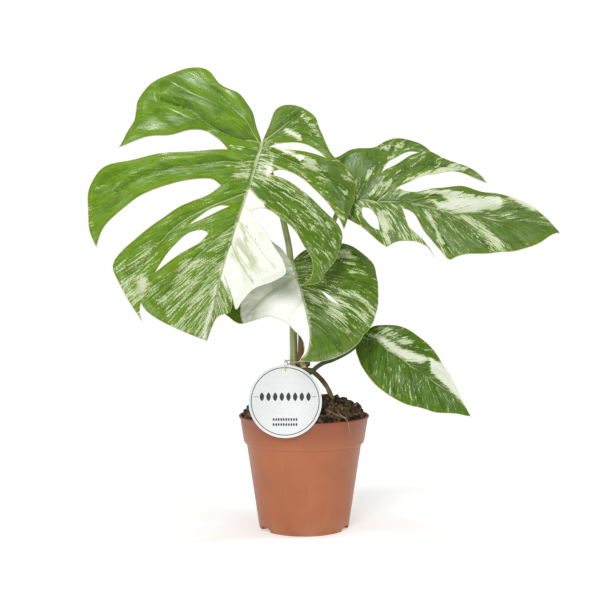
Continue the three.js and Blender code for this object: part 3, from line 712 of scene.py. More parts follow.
class Finish:
    """A procedural material being wired up."""

    def __init__(self, name, **settings):
        self.material = bpy.data.materials.new(name)
        self.material.use_nodes = True
        self.tree = self.material.node_tree
        self.tree.nodes.clear()
        self.shader = self.tree.nodes.new("ShaderNodeBsdfPrincipled")
        output = self.tree.nodes.new("ShaderNodeOutputMaterial")
        self.tree.links.new(self.shader.outputs[0], output.inputs["Surface"])
        for socket, value in settings.items():
            self.shader.inputs[socket.replace("_", " ")].default_value = value

    def put(self, socket, value):
        """Links a socket, or sets it where the value is a plain one."""
        if isinstance(value, bpy.types.NodeSocket):
            self.tree.links.new(value, socket)
        elif isinstance(value, tuple) and len(value) == 3 and socket.type == "RGBA":
            socket.default_value = (*value, 1)
        else:
            socket.default_value = value

    def feed(self, socket, value):
        self.put(self.shader.inputs[socket], value)

    def attribute(self, name):
        node = self.tree.nodes.new("ShaderNodeAttribute")
        node.attribute_name = name
        return node.outputs["Vector"]

    def place(self):
        return self.tree.nodes.new("ShaderNodeTexCoord").outputs["Object"]

    def split(self, vector):
        node = self.tree.nodes.new("ShaderNodeSeparateXYZ")
        self.put(node.inputs[0], vector)
        return node.outputs[0], node.outputs[1], node.outputs[2]

    def join(self, x, y, z):
        node = self.tree.nodes.new("ShaderNodeCombineXYZ")
        for socket, value in zip(node.inputs, (x, y, z)):
            self.put(socket, value)
        return node.outputs[0]

    def scaled(self, vector, scale):
        node = self.tree.nodes.new("ShaderNodeVectorMath")
        node.operation = "MULTIPLY"
        self.put(node.inputs[0], vector)
        node.inputs[1].default_value = scale
        return node.outputs[0]

    def noise(self, vector, scale, detail=3.0, roughness=0.55, distortion=0.0):
        node = self.tree.nodes.new("ShaderNodeTexNoise")
        self.put(node.inputs["Vector"], vector)
        node.inputs["Scale"].default_value = scale
        node.inputs["Detail"].default_value = detail
        node.inputs["Roughness"].default_value = roughness
        node.inputs["Distortion"].default_value = distortion
        return node.outputs[0]

    def maths(self, operation, a, b):
        node = self.tree.nodes.new("ShaderNodeMath")
        node.operation = operation
        self.put(node.inputs[0], a)
        self.put(node.inputs[1], b)
        return node.outputs[0]

    def ease(self, value, low, high, to_low=0.0, to_high=1.0):
        """A smooth step from low to high."""
        node = self.tree.nodes.new("ShaderNodeMapRange")
        node.interpolation_type = "SMOOTHSTEP"
        self.put(node.inputs["Value"], value)
        node.inputs["From Min"].default_value = low
        node.inputs["From Max"].default_value = high
        node.inputs["To Min"].default_value = to_low
        node.inputs["To Max"].default_value = to_high
        return node.outputs["Result"]

    def mix(self, share, a, b):
        node = self.tree.nodes.new("ShaderNodeMix")
        node.data_type = "RGBA"
        self.put(node.inputs[0], share)
        self.put(node.inputs[6], a)
        self.put(node.inputs[7], b)
        return node.outputs[2]

    def times(self, a, b):
        return self.maths("MULTIPLY", a, b)

    def plus(self, a, b):
        return self.maths("ADD", a, b)

    def fade(self, a, b, value, low, high, at_low=0.0, at_high=1.0):
        """Colour a turning to b as the value goes from low to high."""
        return self.mix(self.ease(value, low, high, at_low, at_high), a, b)

    def rough(self, value, low, high, at_low, at_high):
        self.feed("Roughness", self.ease(value, low, high, at_low, at_high))

    def bump(self, height, strength, distance):
        node = self.tree.nodes.new("ShaderNodeBump")
        node.inputs["Strength"].default_value = strength
        node.inputs["Distance"].default_value = distance
        self.put(node.inputs["Height"], height)
        self.feed("Normal", node.outputs[0])


def leaf_finish(name, leaf, seed):
    """Marbled leaf: cream streaks along the veins on green, pale ribs, waxy gloss; painted shade by
    the veins and on the right half.
    """
    f = Finish(name, Specular_IOR_Level=leaf["gloss"])
    flat = f.attribute("flat")
    from_root, outward, side = f.split(f.attribute("fan"))
    pale, haze, edge = f.split(f.attribute("marks"))
    rib, vein, under = f.split(f.attribute("ribs"))
    apart = f.plus(f.times(side, 37.0), seed * 11.7)

    def along_veins(across, along):
        x = f.times(from_root, across)
        y = f.times(outward, along)
        return f.join(x, y, apart)

    spots = f.noise(along_veins(0.3, 0.035), 1.0, 4.0, 0.6, 0.8)
    broad = f.noise(along_veins(0.15, 0.03), 1.0, 3.0, 0.55, 0.35)
    fine = f.noise(along_veins(0.72, 0.07), 1.0, 4.0, 0.62, 0.7)
    specks = f.noise(flat, 0.8, 3.0, 0.7)
    streaks = f.plus(f.times(broad, 0.22), f.times(fine, 0.64))
    streaks = f.plus(streaks, f.times(specks, 0.26))
    level = f.plus(streaks, f.times(pale, 0.22))
    cut = leaf["threshold"]
    cream_share = f.ease(level, cut, cut + 0.02)
    halo_share = f.ease(level, cut - 0.03, cut)

    dark, bright = leaf["green"]
    green = f.fade(dark, bright, spots, 0.34, 0.66, 0.2, 0.9)
    hairs = f.noise(along_veins(3.4, 0.14), 1.0, 3.0, 0.7, 0.4)
    fleck = tuple(min(1.0, c * k) for c, k in zip(bright, (1.7, 1.4, 1.3)))
    deep_green_and_shade = tuple(c * 0.55 for c in dark)
    green = f.fade(green, fleck, hairs, 0.52, 0.64, 0.0, 0.5)
    green = f.fade(green, deep_green_and_shade, hairs, 0.36, 0.48, 0.35, 0.0)
    # Painted shade: the right half's green is darkened towards the dark green.
    green = f.mix(f.times(side, leaf["painted_shade_right"]), green, deep_green_and_shade)
    fresh = tuple(min(1.0, c * k) for c, k in zip(bright, (1.45, 1.2, 0.7)))
    green = f.fade(green, fresh, edge, 2.0, 9.0, 0.3, 0.0)
    green = f.fade(green, deep_green_and_shade, edge, 0.8, 2.6, 0.3, 0.0)
    # Painted shade: the green darkens beside the sunken veins.
    green = f.fade(green, deep_green_and_shade, vein, 0.8, 3.2, 0.35, 0.0)
    marbled = f.mix(f.times(halo_share, 0.6), green, (0.3, 0.41, 0.12))
    streaked = f.fade((0.38, 0.45, 0.22), (0.57, 0.61, 0.42), specks, 0.35, 0.7)
    dull = tuple(c * 0.9 for c in leaf["white"])
    white = f.fade(dull, leaf["white"], specks, 0.3, 0.7)
    cream = f.fade(streaked, white, pale, 0.5, 0.9)
    clouds = f.ease(f.noise(along_veins(0.16, 0.045), 1.0, 4.0, 0.6, 0.9), 0.4, 0.56)
    cream = f.mix(f.times(haze, clouds), cream, (0.5, 0.55, 0.36))
    colour = f.mix(cream_share, marbled, cream)

    colour = f.fade(colour, (0.38, 0.49, 0.17), vein, 0.3, 1.0, leaf["vein_tint"], 0.0)
    colour = f.fade(colour, (0.43, 0.49, 0.25), rib, 0.7, 1.1, 0.95, 0.0)
    colour = f.fade(colour, (0.42, 0.5, 0.2), edge, 0.0, 0.9, 0.7, 0.0)
    backside = f.mix(0.5, colour, (0.3, 0.4, 0.19))
    colour = f.mix(f.times(under, 0.85), colour, backside)
    f.feed("Base Color", colour)

    gloss = f.ease(f.noise(flat, 0.06, 3.0, 0.5), 0.4, 0.6, 0.24, 0.38)
    f.feed("Roughness", f.plus(gloss, f.times(under, 0.25)))
    creases = f.noise(along_veins(0.7, 0.03), 1.0, 3.0, 0.55)
    grain = f.noise(flat, 1.6, 2.0, 0.6)
    height = f.plus(creases, f.times(grain, 0.08))
    f.bump(height, 0.5, 0.0012)
    return f.material


def stalk_finish(name, light, shade, bark_from, bark_to):
    """Stalk: olive-green with lengthwise grooves, corky brown at its foot, and painted shade down
    one side.
    """
    f = Finish(name, Specular_IOR_Level=0.45)
    cos, sin, along = f.split(f.attribute("around"))
    ring = f.join(f.times(cos, 2.2), f.times(sin, 2.2),
                  f.times(along, 0.035))
    lines = f.noise(ring, 1.6, 4.0, 0.6)
    blots = f.noise(f.place(), 130.0, 3.0, 0.6)
    colour = f.fade(shade, light, lines, 0.32, 0.5)
    # Painted shade: one side of the stalk, its right or under side, turns to the dark green.
    colour = f.fade(colour, shade, cos, 0.5, 0.95, 0.0, 0.8)
    colour = f.fade(colour, (0.5, 0.56, 0.34), cos, -0.95, -0.6, 0.7, 0.0)
    corky = f.plus(along, f.times(blots, 14.0))
    corky = f.plus(corky, f.times(cos, -4.0))
    bark = f.fade((0.05, 0.032, 0.014), (0.15, 0.1, 0.05), lines, 0.4, 0.62)
    colour = f.fade(colour, bark, corky, bark_from, bark_to, 0.85, 0.0)
    f.feed("Base Color", colour)
    f.rough(lines, 0.3, 0.7, 0.36, 0.52)
    f.bump(f.plus(lines, f.times(blots, 0.3)), 0.6, 0.0007)
    return f.material


def stem_finish():
    """Knobbly stem: dark brown bark with green showing and pale scars."""
    f = Finish("stem_bark", Specular_IOR_Level=0.3)
    place = f.place()
    cos, sin, along = f.split(f.attribute("around"))
    blots = f.noise(place, 150.0, 5.0, 0.65)
    rings = f.noise(f.join(cos, sin, f.times(along, 0.5)), 1.3, 4.0, 0.6)
    colour = f.fade((0.045, 0.028, 0.014), (0.2, 0.145, 0.07), blots, 0.38, 0.6)
    colour = f.fade(colour, (0.11, 0.15, 0.04), rings, 0.56, 0.66, 0.0, 0.7)
    colour = f.fade(colour, (0.42, 0.36, 0.2), rings, 0.64, 0.7, 0.0, 0.8)
    f.feed("Base Color", colour)
    f.rough(blots, 0.3, 0.7, 0.55, 0.8)
    f.bump(f.plus(blots, rings), 0.9, 0.0014)
    return f.material


def aerial_root_finish():
    """Root: olive where it leaves the stem, then brown, then tan at the soil, with painted shade
    down one side.
    """
    f = Finish("aerial_root_skin", Specular_IOR_Level=0.3)
    cos, sin, along = f.split(f.attribute("around"))
    wander = f.plus(along, f.times(f.noise(f.place(), 120.0, 3.0), 10.0))
    ring = f.join(f.times(cos, 2.0), f.times(sin, 2.0),
                  f.times(along, 0.06))
    lines = f.noise(ring, 1.8, 4.0, 0.6)
    tan = f.fade((0.17, 0.145, 0.06), (0.36, 0.31, 0.17), lines, 0.35, 0.65)
    brown = f.mix(lines, (0.06, 0.035, 0.012), (0.17, 0.11, 0.045))
    olive = f.mix(lines, (0.045, 0.06, 0.02), (0.13, 0.15, 0.055))
    colour = f.fade(olive, brown, wander, 16.0, 27.0)
    colour = f.fade(colour, tan, wander, 28.0, 38.0)
    # Painted shade: one side of the root darkens.
    colour = f.fade(colour, (0.07, 0.06, 0.03), sin, -0.6, 0.9, 0.0, 0.45)
    f.feed("Base Color", colour)
    f.rough(lines, 0.3, 0.7, 0.5, 0.72)
    f.bump(lines, 0.6, 0.0008)
    return f.material


def husk_finish():
    """Dried sheath: papery red-brown with long fibres."""
    f = Finish("dry_husk_paper", Specular_IOR_Level=0.35)
    fibres = f.noise(f.scaled(f.place(), (900.0, 900.0, 28.0)), 1.0, 4.0, 0.65)
    low = f.split(f.place())[2]
    colour = f.fade((0.075, 0.042, 0.014), (0.26, 0.17, 0.08), fibres, 0.38, 0.62)
    rusty = f.times(f.ease(low, 0.158, 0.172, 0.75, 0.0), f.ease(fibres, 0.3, 0.6))
    colour = f.mix(rusty, colour, (0.2, 0.045, 0.018))
    f.feed("Base Color", colour)
    f.rough(fibres, 0.3, 0.7, 0.42, 0.62)
    f.bump(fibres, 0.7, 0.0006)
    return f.material


def fibre_finish(name, dark, pale):
    """Root fibre: uneven brown with a dusty bloom."""
    f = Finish(name, Specular_IOR_Level=0.2)
    patches = f.noise(f.place(), 240.0, 4.0, 0.6)
    f.feed("Base Color", f.fade(dark, pale, patches, 0.35, 0.65))
    f.rough(patches, 0.3, 0.7, 0.7, 0.9)
    f.bump(patches, 0.5, 0.0005)
    return f.material


def soil_finish(name):
    """Potting soil: near-black crumbs with brown and tan bits."""
    f = Finish(name, Specular_IOR_Level=0.22)
    tone, warm, _ = f.split(f.attribute("tone"))
    grit = f.noise(f.place(), 420.0, 5.0, 0.7)
    patches = f.noise(f.place(), 60.0, 3.0, 0.6)
    dark = f.fade((0.008, 0.006, 0.004), (0.05, 0.036, 0.022), grit, 0.35, 0.65)
    brown = f.fade((0.07, 0.043, 0.022), (0.25, 0.17, 0.09), grit, 0.35, 0.65)
    lean = f.plus(tone, f.times(f.maths("SUBTRACT", patches, 0.5), 0.8))
    colour = f.fade(dark, brown, lean, 0.42, 0.66)
    colour = f.fade(colour, (0.36, 0.27, 0.15), warm, 0.9, 0.97, 0.0, 0.75)
    f.feed("Base Color", colour)
    f.rough(grit, 0.3, 0.7, 0.75, 0.95)
    f.bump(grit, 0.9, 0.0012)
    return f.material


def pot_finish():
    """Moulded terracotta-coloured plastic: satin, faintly mottled, with scuffs, and painted shade
    on the collar that deepens towards the lip.
    """
    f = Finish("pot_plastic_moulded", Specular_IOR_Level=0.42)
    place = f.place()
    height = f.split(place)[2]
    clouds = f.noise(place, 26.0, 4.0, 0.6)
    drawn = f.noise(f.scaled(place, (160.0, 160.0, 7.0)), 1.0, 4.0, 0.6)
    specks = f.noise(place, 900.0, 2.0, 0.6)
    colour = f.fade((0.335, 0.103, 0.037), (0.38, 0.121, 0.045), clouds, 0.3, 0.7)
    colour = f.fade(colour, (0.44, 0.155, 0.068), drawn, 0.55, 0.75, 0.0, 0.3)
    # Painted shade: the collar darkens towards the lip.
    colour = f.fade(colour, (0.26, 0.066, 0.028), height, 0.077, 0.1, 0.0, 0.8)
    dusty = f.times(f.ease(height, 0.0, 0.02, 0.22, 0.0), f.ease(clouds, 0.35, 0.6))
    colour = f.mix(dusty, colour, (0.5, 0.3, 0.2))
    f.feed("Base Color", colour)
    f.rough(clouds, 0.25, 0.75, 0.36, 0.5)
    fine = f.plus(f.times(specks, 0.35), drawn)
    f.bump(fine, 0.22, 0.0005)
    return f.material


def card_finish():
    """White card with a very faint paper tooth."""
    f = Finish("tag_card_paper", Specular_IOR_Level=0.25)
    tooth = f.noise(f.place(), 700.0, 3.0, 0.6)
    wash = f.noise(f.place(), 45.0, 2.0, 0.5)
    colour = f.fade((0.68, 0.7, 0.705), (0.75, 0.76, 0.76), tooth, 0.35, 0.65)
    colour = f.fade(colour, (0.665, 0.7, 0.71), wash, 0.4, 0.7, 0.0, 0.35)
    f.feed("Base Color", colour)
    f.rough(tooth, 0.3, 0.7, 0.55, 0.7)
    f.bump(tooth, 0.25, 0.0002)
    return f.material


def ink_finish():
    """Dark grey print, slightly uneven in density."""
    f = Finish("tag_ink", Specular_IOR_Level=0.3)
    wear = f.noise(f.place(), 1200.0, 3.0, 0.6)
    f.feed("Base Color", f.fade((0.02, 0.022, 0.024), (0.06, 0.062, 0.066), wear, 0.3, 0.7))
    f.rough(wear, 0.3, 0.7, 0.5, 0.65)
    return f.material


def twine_finish():
    """Beige cotton twine with fine fibres along the ply."""
    f = Finish("twine_cotton", Specular_IOR_Level=0.15, Sheen_Weight=0.3)
    fibres = f.noise(f.place(), 1500.0, 3.0, 0.7)
    colour = f.fade((0.46, 0.38, 0.27), (0.72, 0.65, 0.53), fibres, 0.3, 0.7)
    f.feed("Base Color", colour)
    f.rough(fibres, 0.3, 0.7, 0.75, 0.92)
    f.bump(fibres, 0.6, 0.0003)
    return f.material


# ---------- leaves ----------


def spaced(points, step):
    """Evenly spaced points on a smooth line, without its first one.

    A point with a third value is a sharp corner, and the nearest point moves onto it.
    """
    dense = catmull(points, False)
    line = resample(dense, max(1, round(line_length(dense) / step)))
    for corner in [p for p in points if len(p) > 2]:
        gaps = np.hypot(line[1:-1, 0] - corner[0], line[1:-1, 1] - corner[1])
        line[1 + int(gaps.argmin())] = corner[:2]
    return [tuple(p) for p in line[1:]]


def split_edges(split, start, step):
    """Both edges along a split, from the midrib to the tips of the lobes beside it."""
    above, below = [start], [start]
    for place in spaced([start, *split["shared"]], step):
        above.append(place)
        below.append(place)
    if "hole" in split:
        above += spaced([above[-1], *split["hole"]["above"]], step)
        below += spaced([below[-1], *split["hole"]["below"]], step)
    if "rejoin" in split:
        for place in spaced([above[-1], *split["rejoin"]], step):
            above.append(place)
            below.append(place)
    if "above" in split:
        above += spaced([above[-1], *split["above"]], step)
    if "below" in split:
        below += spaced([below[-1], *split["below"]], step)
    return above, below


def place_on(line, share):
    """A place at a share of the way along a line of evenly spaced points."""
    at = share * (len(line) - 1)
    first = min(int(at), len(line) - 2)
    (u0, v0), (u1, v1) = line[first], line[first + 1]
    part = at - first
    return u0 + (u1 - u0) * part, v0 + (v1 - v0) * part


class FlatBlade:
    """Vertices and triangles of a flat blade."""

    def __init__(self):
        self.points = []
        self.known = {}
        self.triangles = []

    def vertex(self, u, v):
        key = (round(u, 3), round(v, 3) + 0.0)
        if key not in self.known:
            self.known[key] = len(self.points)
            self.points.append((u, v))
        return self.known[key]

    def triangle(self, a, b, c):
        if len({a, b, c}) < 3:
            return
        (ua, va), (ub, vb), (uc, vc) = (self.points[i] for i in (a, b, c))
        area = (ub - ua) * (vc - va) - (uc - ua) * (vb - va)
        if abs(area) > 1e-6:
            self.triangles.append((a, b, c) if area > 0 else (a, c, b))

    def strip(self, upper, lower):
        """Fills between two lines of vertices, whose counts may differ."""
        i = j = 0
        while i < len(upper) - 1 or j < len(lower) - 1:
            upper_next = (i + 1) / (len(upper) - 1)
            lower_next = (j + 1) / (len(lower) - 1)
            if j == len(lower) - 1 or (i < len(upper) - 1 and upper_next <= lower_next):
                self.triangle(upper[i], upper[i + 1], lower[j])
                i += 1
            else:
                self.triangle(upper[i], lower[j + 1], lower[j])
                j += 1

    def lobe(self, upper, lower, start_at, rows, side):
        """Fills one lobe between its two edges. start_at(share) is its place on the rib."""
        before = None
        for row in range(rows + 1):
            share = row / rows
            columns = round((len(upper) - 1) * (1 - share) + (len(lower) - 1) * share)
            line = []
            for column in range(columns + 1):
                u0, v0 = place_on(upper, column / columns)
                u1, v1 = place_on(lower, column / columns)
                place = (u0 + (u1 - u0) * share, v0 + (v1 - v0) * share)
                u, v = place if column else start_at(share)
                line.append(self.vertex(u, side * v))
            if before:
                self.strip(before, line)
            before = line


def flat_blade(leaf):
    """Both halves of a blade, joined along the midrib."""
    blade = FlatBlade()
    steps = round(leaf["length"] / BLADE_STEP)

    def rib(index):
        return leaf["length"] * index / steps, 0.0

    for half, side in ((leaf["left"], -1), (leaf["right"], 1)):
        splits = half["splits"]
        roots = [round(s["root"] / leaf["length"] * steps) for s in splits]
        edges = [split_edges(s, rib(r), BLADE_STEP) for s, r in zip(splits, roots)]
        for index in range(len(splits) + 1):
            first = roots[index - 1] if index else 0
            last = roots[index] if index < len(splits) else first
            outer = [(0.0, 0.0), *spaced(half["outer"], BLADE_STEP)]
            upper = edges[index - 1][1] if index else outer
            rib_end = [rib(i) for i in range(first, steps + 1)]
            lower = edges[index][0] if index < len(splits) else rib_end
            gaps = [math.dist(place_on(upper, k / 8), place_on(lower, k / 8)) for k in range(9)]
            rows = max(round(max(gaps) / BLADE_STEP), last - first, 3)

            def start_at(share, first=first, last=last):
                return rib(first + round((last - first) * share))

            blade.lobe(upper, lower, start_at, rows, side)
    return np.array(blade.points), np.array(blade.triangles)


def on_blade(leaf, u, v):
    """Places (u, v) of the flat blade carried onto the curved midrib."""
    line = catmull(leaf["midrib"], True, 60)
    run = arc_lengths(line) / line_length(line)
    at = np.clip(u / leaf["length"], 0, 1)
    slopes = np.gradient(line, run, axis=0)
    point = np.stack([np.interp(at, run, line[:, k]) for k in range(3)], axis=1)
    tangent = np.stack([np.interp(at, run, slopes[:, k]) for k in range(3)], axis=1)
    tangent /= np.linalg.norm(tangent, axis=1)[:, None]
    face = np.array(leaf["face"], float)
    face /= np.linalg.norm(face)
    normal = face - tangent * (tangent @ face)[:, None]
    normal /= np.linalg.norm(normal, axis=1)[:, None]
    across = np.cross(normal, tangent)
    turn = np.clip(-u, 0, None)[:, None] / leaf["back_bend"]
    point = point - tangent * np.sin(turn) * leaf["back_bend"]
    point = point + normal * (np.cos(turn) - 1) * leaf["back_bend"]
    normal = normal * np.cos(turn) - tangent * np.sin(turn)
    fold = np.radians(np.where(v < 0, leaf["left"]["fold"], leaf["right"]["fold"]))
    arch = np.where(v < 0, leaf["left"]["arch"], leaf["right"]["arch"]).astype(float)
    angle = fold - np.abs(v) / arch
    reach = np.sign(v) * arch * (np.sin(fold) - np.sin(angle))
    lift = arch * (np.cos(angle) - np.cos(fold))
    return point + across * reach[:, None] + normal * lift[:, None]


def distance_to_line(points, line, taper=0.0):
    """Distance from each flat point to a polyline, over a width that tapers along it."""
    best = np.full(len(points), 1e9)
    count = len(line) - 1
    for index, (a, b) in enumerate(zip(line[:-1], line[1:])):
        step = b - a
        share = np.clip(((points - a) @ step) / max(step @ step, 1e-9), 0, 1)
        gaps = np.linalg.norm(points - a - share[:, None] * step, axis=1)
        best = np.minimum(best, gaps / (1 - taper * index / count))
    return best


def inside(points, outline):
    """Signed distance to a closed outline, above zero inside it."""
    ring = np.array([*outline, outline[0]], float)
    crossings = np.zeros(len(points), bool)
    for (ua, va), (ub, vb) in zip(ring[:-1], ring[1:]):
        spans = (va > points[:, 1]) != (vb > points[:, 1])
        at = ua + (points[:, 1] - va) * (ub - ua) / (vb - va if vb != va else 1e-9)
        crossings ^= spans & (points[:, 0] < at)
    return np.where(crossings, 1, -1) * distance_to_line(points, ring)


def patch_field(points, patches, soft):
    """The patches' amounts added up, each fading out over its border."""
    total = np.zeros(len(points))
    for amount, outline in patches:
        share = np.clip(0.5 + inside(points, outline) / (2 * soft), 0, 1)
        total += amount * share * share * (3 - 2 * share)
    return total


def vein_fan(points, fan):
    """Where the vein through each flat point leaves the midrib, found by bisection."""
    roots, degrees = np.array(fan, float).T
    across = np.abs(points[:, 1]) + 0.05
    low = np.full(len(points), roots[0])
    high = np.full(len(points), roots[-1])
    for _ in range(34):
        middle = (low + high) / 2
        turn = np.radians(np.interp(middle, roots, degrees))
        over = np.maximum(middle, 0) + across / np.tan(turn) > points[:, 0]
        high = np.where(over, middle, high)
        low = np.where(over, low, middle)
    return (low + high) / 2


def boundary_edges(triangles):
    directed = {}
    for a, b, c in triangles:
        for edge in ((a, b), (b, c), (c, a)):
            directed[edge] = True
    return [edge for edge in directed if edge[::-1] not in directed]


def edge_distance(points, edges, reach=14.0):
    """Distance to the nearest point on the blade's own edge, up to reach."""
    rim_points = points[sorted({i for edge in edges for i in edge})]
    best = np.full(len(points), reach)
    for start in range(0, len(points), 2000):
        block = points[start : start + 2000]
        gaps = np.linalg.norm(block[:, None] - rim_points[None], axis=2).min(axis=1)
        best[start : start + 2000] = np.minimum(gaps, reach)
    return best


def vertex_normals(points, triangles):
    a, b, c = (points[triangles[:, k]] for k in range(3))
    facing = np.cross(b - a, c - a)
    normals = np.zeros_like(points)
    for k in range(3):
        np.add.at(normals, triangles[:, k], facing)
    return normals / np.maximum(np.linalg.norm(normals, axis=1), 1e-9)[:, None]


def blade_relief(leaf, flat, rib, vein, edge, phase):
    """How far the blade's skin rises: sunk veins, quilting between them, a wavy edge."""
    inner = np.clip(edge / 6, 0, 1)
    quilt = 1.5 * (1 - np.exp(-((vein / 5.5) ** 2))) * inner
    groove = -0.9 * np.exp(-((vein / 1.6) ** 2)) * np.clip(edge / 4, 0, 1)
    rib_groove = -1.1 * np.exp(-(rib**2))
    u, v = flat.T
    wave = 1.2 * np.sin(u / 9 + phase) * np.sin(v / 11 + 1.3 * phase)
    frill = 0.8 * np.sin((u + 0.6 * v) / 5.5 + phase) * np.exp(-edge / 5)
    curl = 0.8 * np.exp(-edge / 3.5)
    calm = np.clip(np.hypot(u, v) / 14, 0, 1)
    relief = quilt + groove + rib_groove + (wave + frill + curl) * calm
    for height, width, line in leaf.get("folds", []):
        away = distance_to_line(flat, catmull(line, False, 10))
        relief += height * np.exp(-((away / width) ** 2)) * inner * calm
    return relief


def leaf_lines(leaf, flat):
    """Where each flat point's vein leaves the midrib, and how far off veins and midrib are.

    The distance to the midrib is in rib widths, which shrink with the taper to the tip.
    """
    left = flat[:, 1] < 0
    mirrored = np.stack([flat[:, 0], np.abs(flat[:, 1])], axis=1)
    vein = np.full(len(flat), 1e9)
    fan_root = np.zeros(len(flat))
    for half, mask in ((leaf["left"], left), (leaf["right"], ~left)):
        for line in half["veins"]:
            near = distance_to_line(mirrored[mask], catmull(line, False, 10), 0.7)
            vein[mask] = np.minimum(vein[mask], near)
        fan_root[mask] = vein_fan(mirrored[mask], half["fan"])
    taper = 1 - 0.78 * np.clip(flat[:, 0] / leaf["length"], 0, 1)
    away = np.where(flat[:, 0] < 0, np.hypot(flat[:, 0], flat[:, 1]), mirrored[:, 1])
    return fan_root, vein, away / (leaf["rib_width"] * taper), taper


def leaf_skins(leaf, flat, triangles, lines, edge, phase):
    """The blade's upper skin, and its under skin with the veins standing out."""
    _, vein, rib, taper = lines
    middle = on_blade(leaf, flat[:, 0], flat[:, 1])
    normals = vertex_normals(middle, triangles)
    relief = blade_relief(leaf, flat, rib, vein, edge, phase)
    ridge = 1.3 * taper * np.exp(-((rib / 1.1) ** 2)) + 0.5 * np.exp(-((vein / 1.2) ** 2))
    half = BLADE_THICKNESS / 2
    top = middle + normals * (relief + half)[:, None]
    under = middle + normals * (relief - half - ridge * np.clip(edge, 0, 1))[:, None]
    return np.vstack([top, under])


def add_leaf(name, leaf, seed):
    flat, triangles = flat_blade(leaf)
    edges = boundary_edges(triangles)
    edge = edge_distance(flat, edges)
    lines = leaf_lines(leaf, flat)
    skins = leaf_skins(leaf, flat, triangles, lines, edge, seed * 1.7)
    count = len(flat)
    faces = [tuple(t) for t in triangles]
    faces += [(a + count, c + count, b + count) for a, b, c in triangles]
    faces += [(b, a, a + count, b + count) for a, b in edges]
    obj = add_mesh(name + "_blade", [rim(p) for p in skins], faces)

    def give_both(attribute, *columns):
        give_attribute(obj, attribute, np.stack([np.resize(c, 2 * count) for c in columns], axis=1))

    fan_root, vein, rib, _ = lines
    outward = np.hypot(flat[:, 0] - np.maximum(fan_root, 0), flat[:, 1])
    side = np.where(flat[:, 1] < 0, 0.0, 1.0)
    pale = patch_field(flat, leaf["pale"], PALE_BORDER)
    haze = np.clip(patch_field(flat, leaf["haze"], HAZE_BORDER), 0, 2)
    give_both("fan", fan_root, outward, side)
    give_both("flat", *flat.T, side * 50)
    give_both("marks", pale, haze, edge)
    give_both("ribs", rib, vein, np.repeat([0.0, 1.0], count))
    obj.data.set_sharp_from_angle(angle=math.radians(CREASE_ANGLE))
    return settle(obj, leaf_finish(name + "_skin", leaf, seed), (name,))


def add_drip_tip(material):
    """The thin dry point at the right leaf's second lower lobe."""
    flat = np.array([(92.5, -54.5), (96, -58), (99.5, -61.5), (103, -65.5)])
    places = on_blade(LEAF_RIGHT, flat[:, 0], flat[:, 1])
    path = [tuple(p) for p in places]
    obj = add_tube("leaf_right_drip_tip", path, lambda share, _: 0.75 - 0.55 * share, 8, 0.8)
    settle(obj, material)


# ---------- stem, stalks, roots ----------


def petiole_radius(radii):
    """A stalk's radius: fluted, grooved, thicker at its foot and at its wrinkled joint."""
    first, last = radii

    def radius_at(share, angle):
        size = first + (last - first) * share
        joint = 0.2 * bell(share, 0.965, 0.03)
        wrinkle = 0.03 * math.sin(share * 420) * bell(share, 0.96, 0.035)
        groove = -0.16 * max(0.0, math.cos(angle - 1.9)) ** 6
        flutes = 0.025 * math.sin(5 * angle + 3 * share)
        foot = 0.12 * bell(share, 0.0, 0.05)
        return size * (1 + joint + wrinkle + groove + flutes + foot)

    return radius_at


def add_petioles():
    for name, stalk in PETIOLES.items():
        obj = add_tube(name + "_stalk", stalk["path"], petiole_radius(stalk["radii"]), 24)
        look = stalk_finish(name + "_skin", *stalk["tones"], *stalk["bark"])
        settle(obj, look, (name,))


def add_stem():
    def radius_at(share, angle):
        size = 6.6 - 1.4 * share
        nodes = 0.9 * bell(share, 0.52, 0.03) + 0.8 * bell(share, 0.74, 0.03)
        nodes += 1.0 * bell(share, 0.93, 0.04)
        lumps = 0.55 * noise.noise((math.cos(angle) * 1.6, math.sin(angle) * 1.6, share * 9))
        return size + nodes + lumps

    obj = add_tube("stem_bark", STEM_PATH, radius_at, 32, 0.8)
    settle(obj, stem_finish(), ("main_stem",))


def add_aerial_root():
    def radius_at(share, angle):
        lumps = 0.3 * noise.noise((math.cos(angle), math.sin(angle), share * 14))
        collar = 0.9 * bell(share, 0.05, 0.08)
        return 2.3 + lumps + collar - 0.25 * share

    obj = add_tube("aerial_root_skin", AERIAL_ROOT_PATH, radius_at, 20, 0.9)
    settle(obj, aerial_root_finish(), ("aerial_root",))


def soil_height(x, y):
    """Height of the soil's surface above the rim."""
    reach = min(1.0, math.hypot(x, y) / 56.9)
    crown = SOIL_MOUND * (1 - reach**5) + 1.5 * (1 - reach) - 1.5
    lumps = math.sin(x / 6 + 1.3) * math.cos(y / 7 - 0.4) + 0.6 * math.sin((x + y) / 4)
    return crown + 1.3 * lumps * (1 - reach**4)


def add_surface_root():
    path = [(x, y, soil_height(x, y) + 2.2) for x, y in SURFACE_ROOT_PLAN]

    def radius_at(share, angle):
        lumps = 0.25 * noise.noise((math.cos(angle), math.sin(angle), share * 12))
        return 1.3 - 0.5 * share + lumps

    obj = add_tube("surface_root_fibre", path, radius_at, 14, 0.7)
    look = fibre_finish("root_fibre_skin", (0.10, 0.065, 0.035), (0.30, 0.22, 0.14))
    settle(obj, look, ("surface_root",))
    hair = add_tube("root_hair", ROOT_HAIR_PATH, lambda share, _: 0.42 - 0.3 * share, 8, 0.8)
    pale = fibre_finish("root_hair_skin", (0.33, 0.2, 0.13), (0.55, 0.38, 0.28))
    settle(hair, pale)


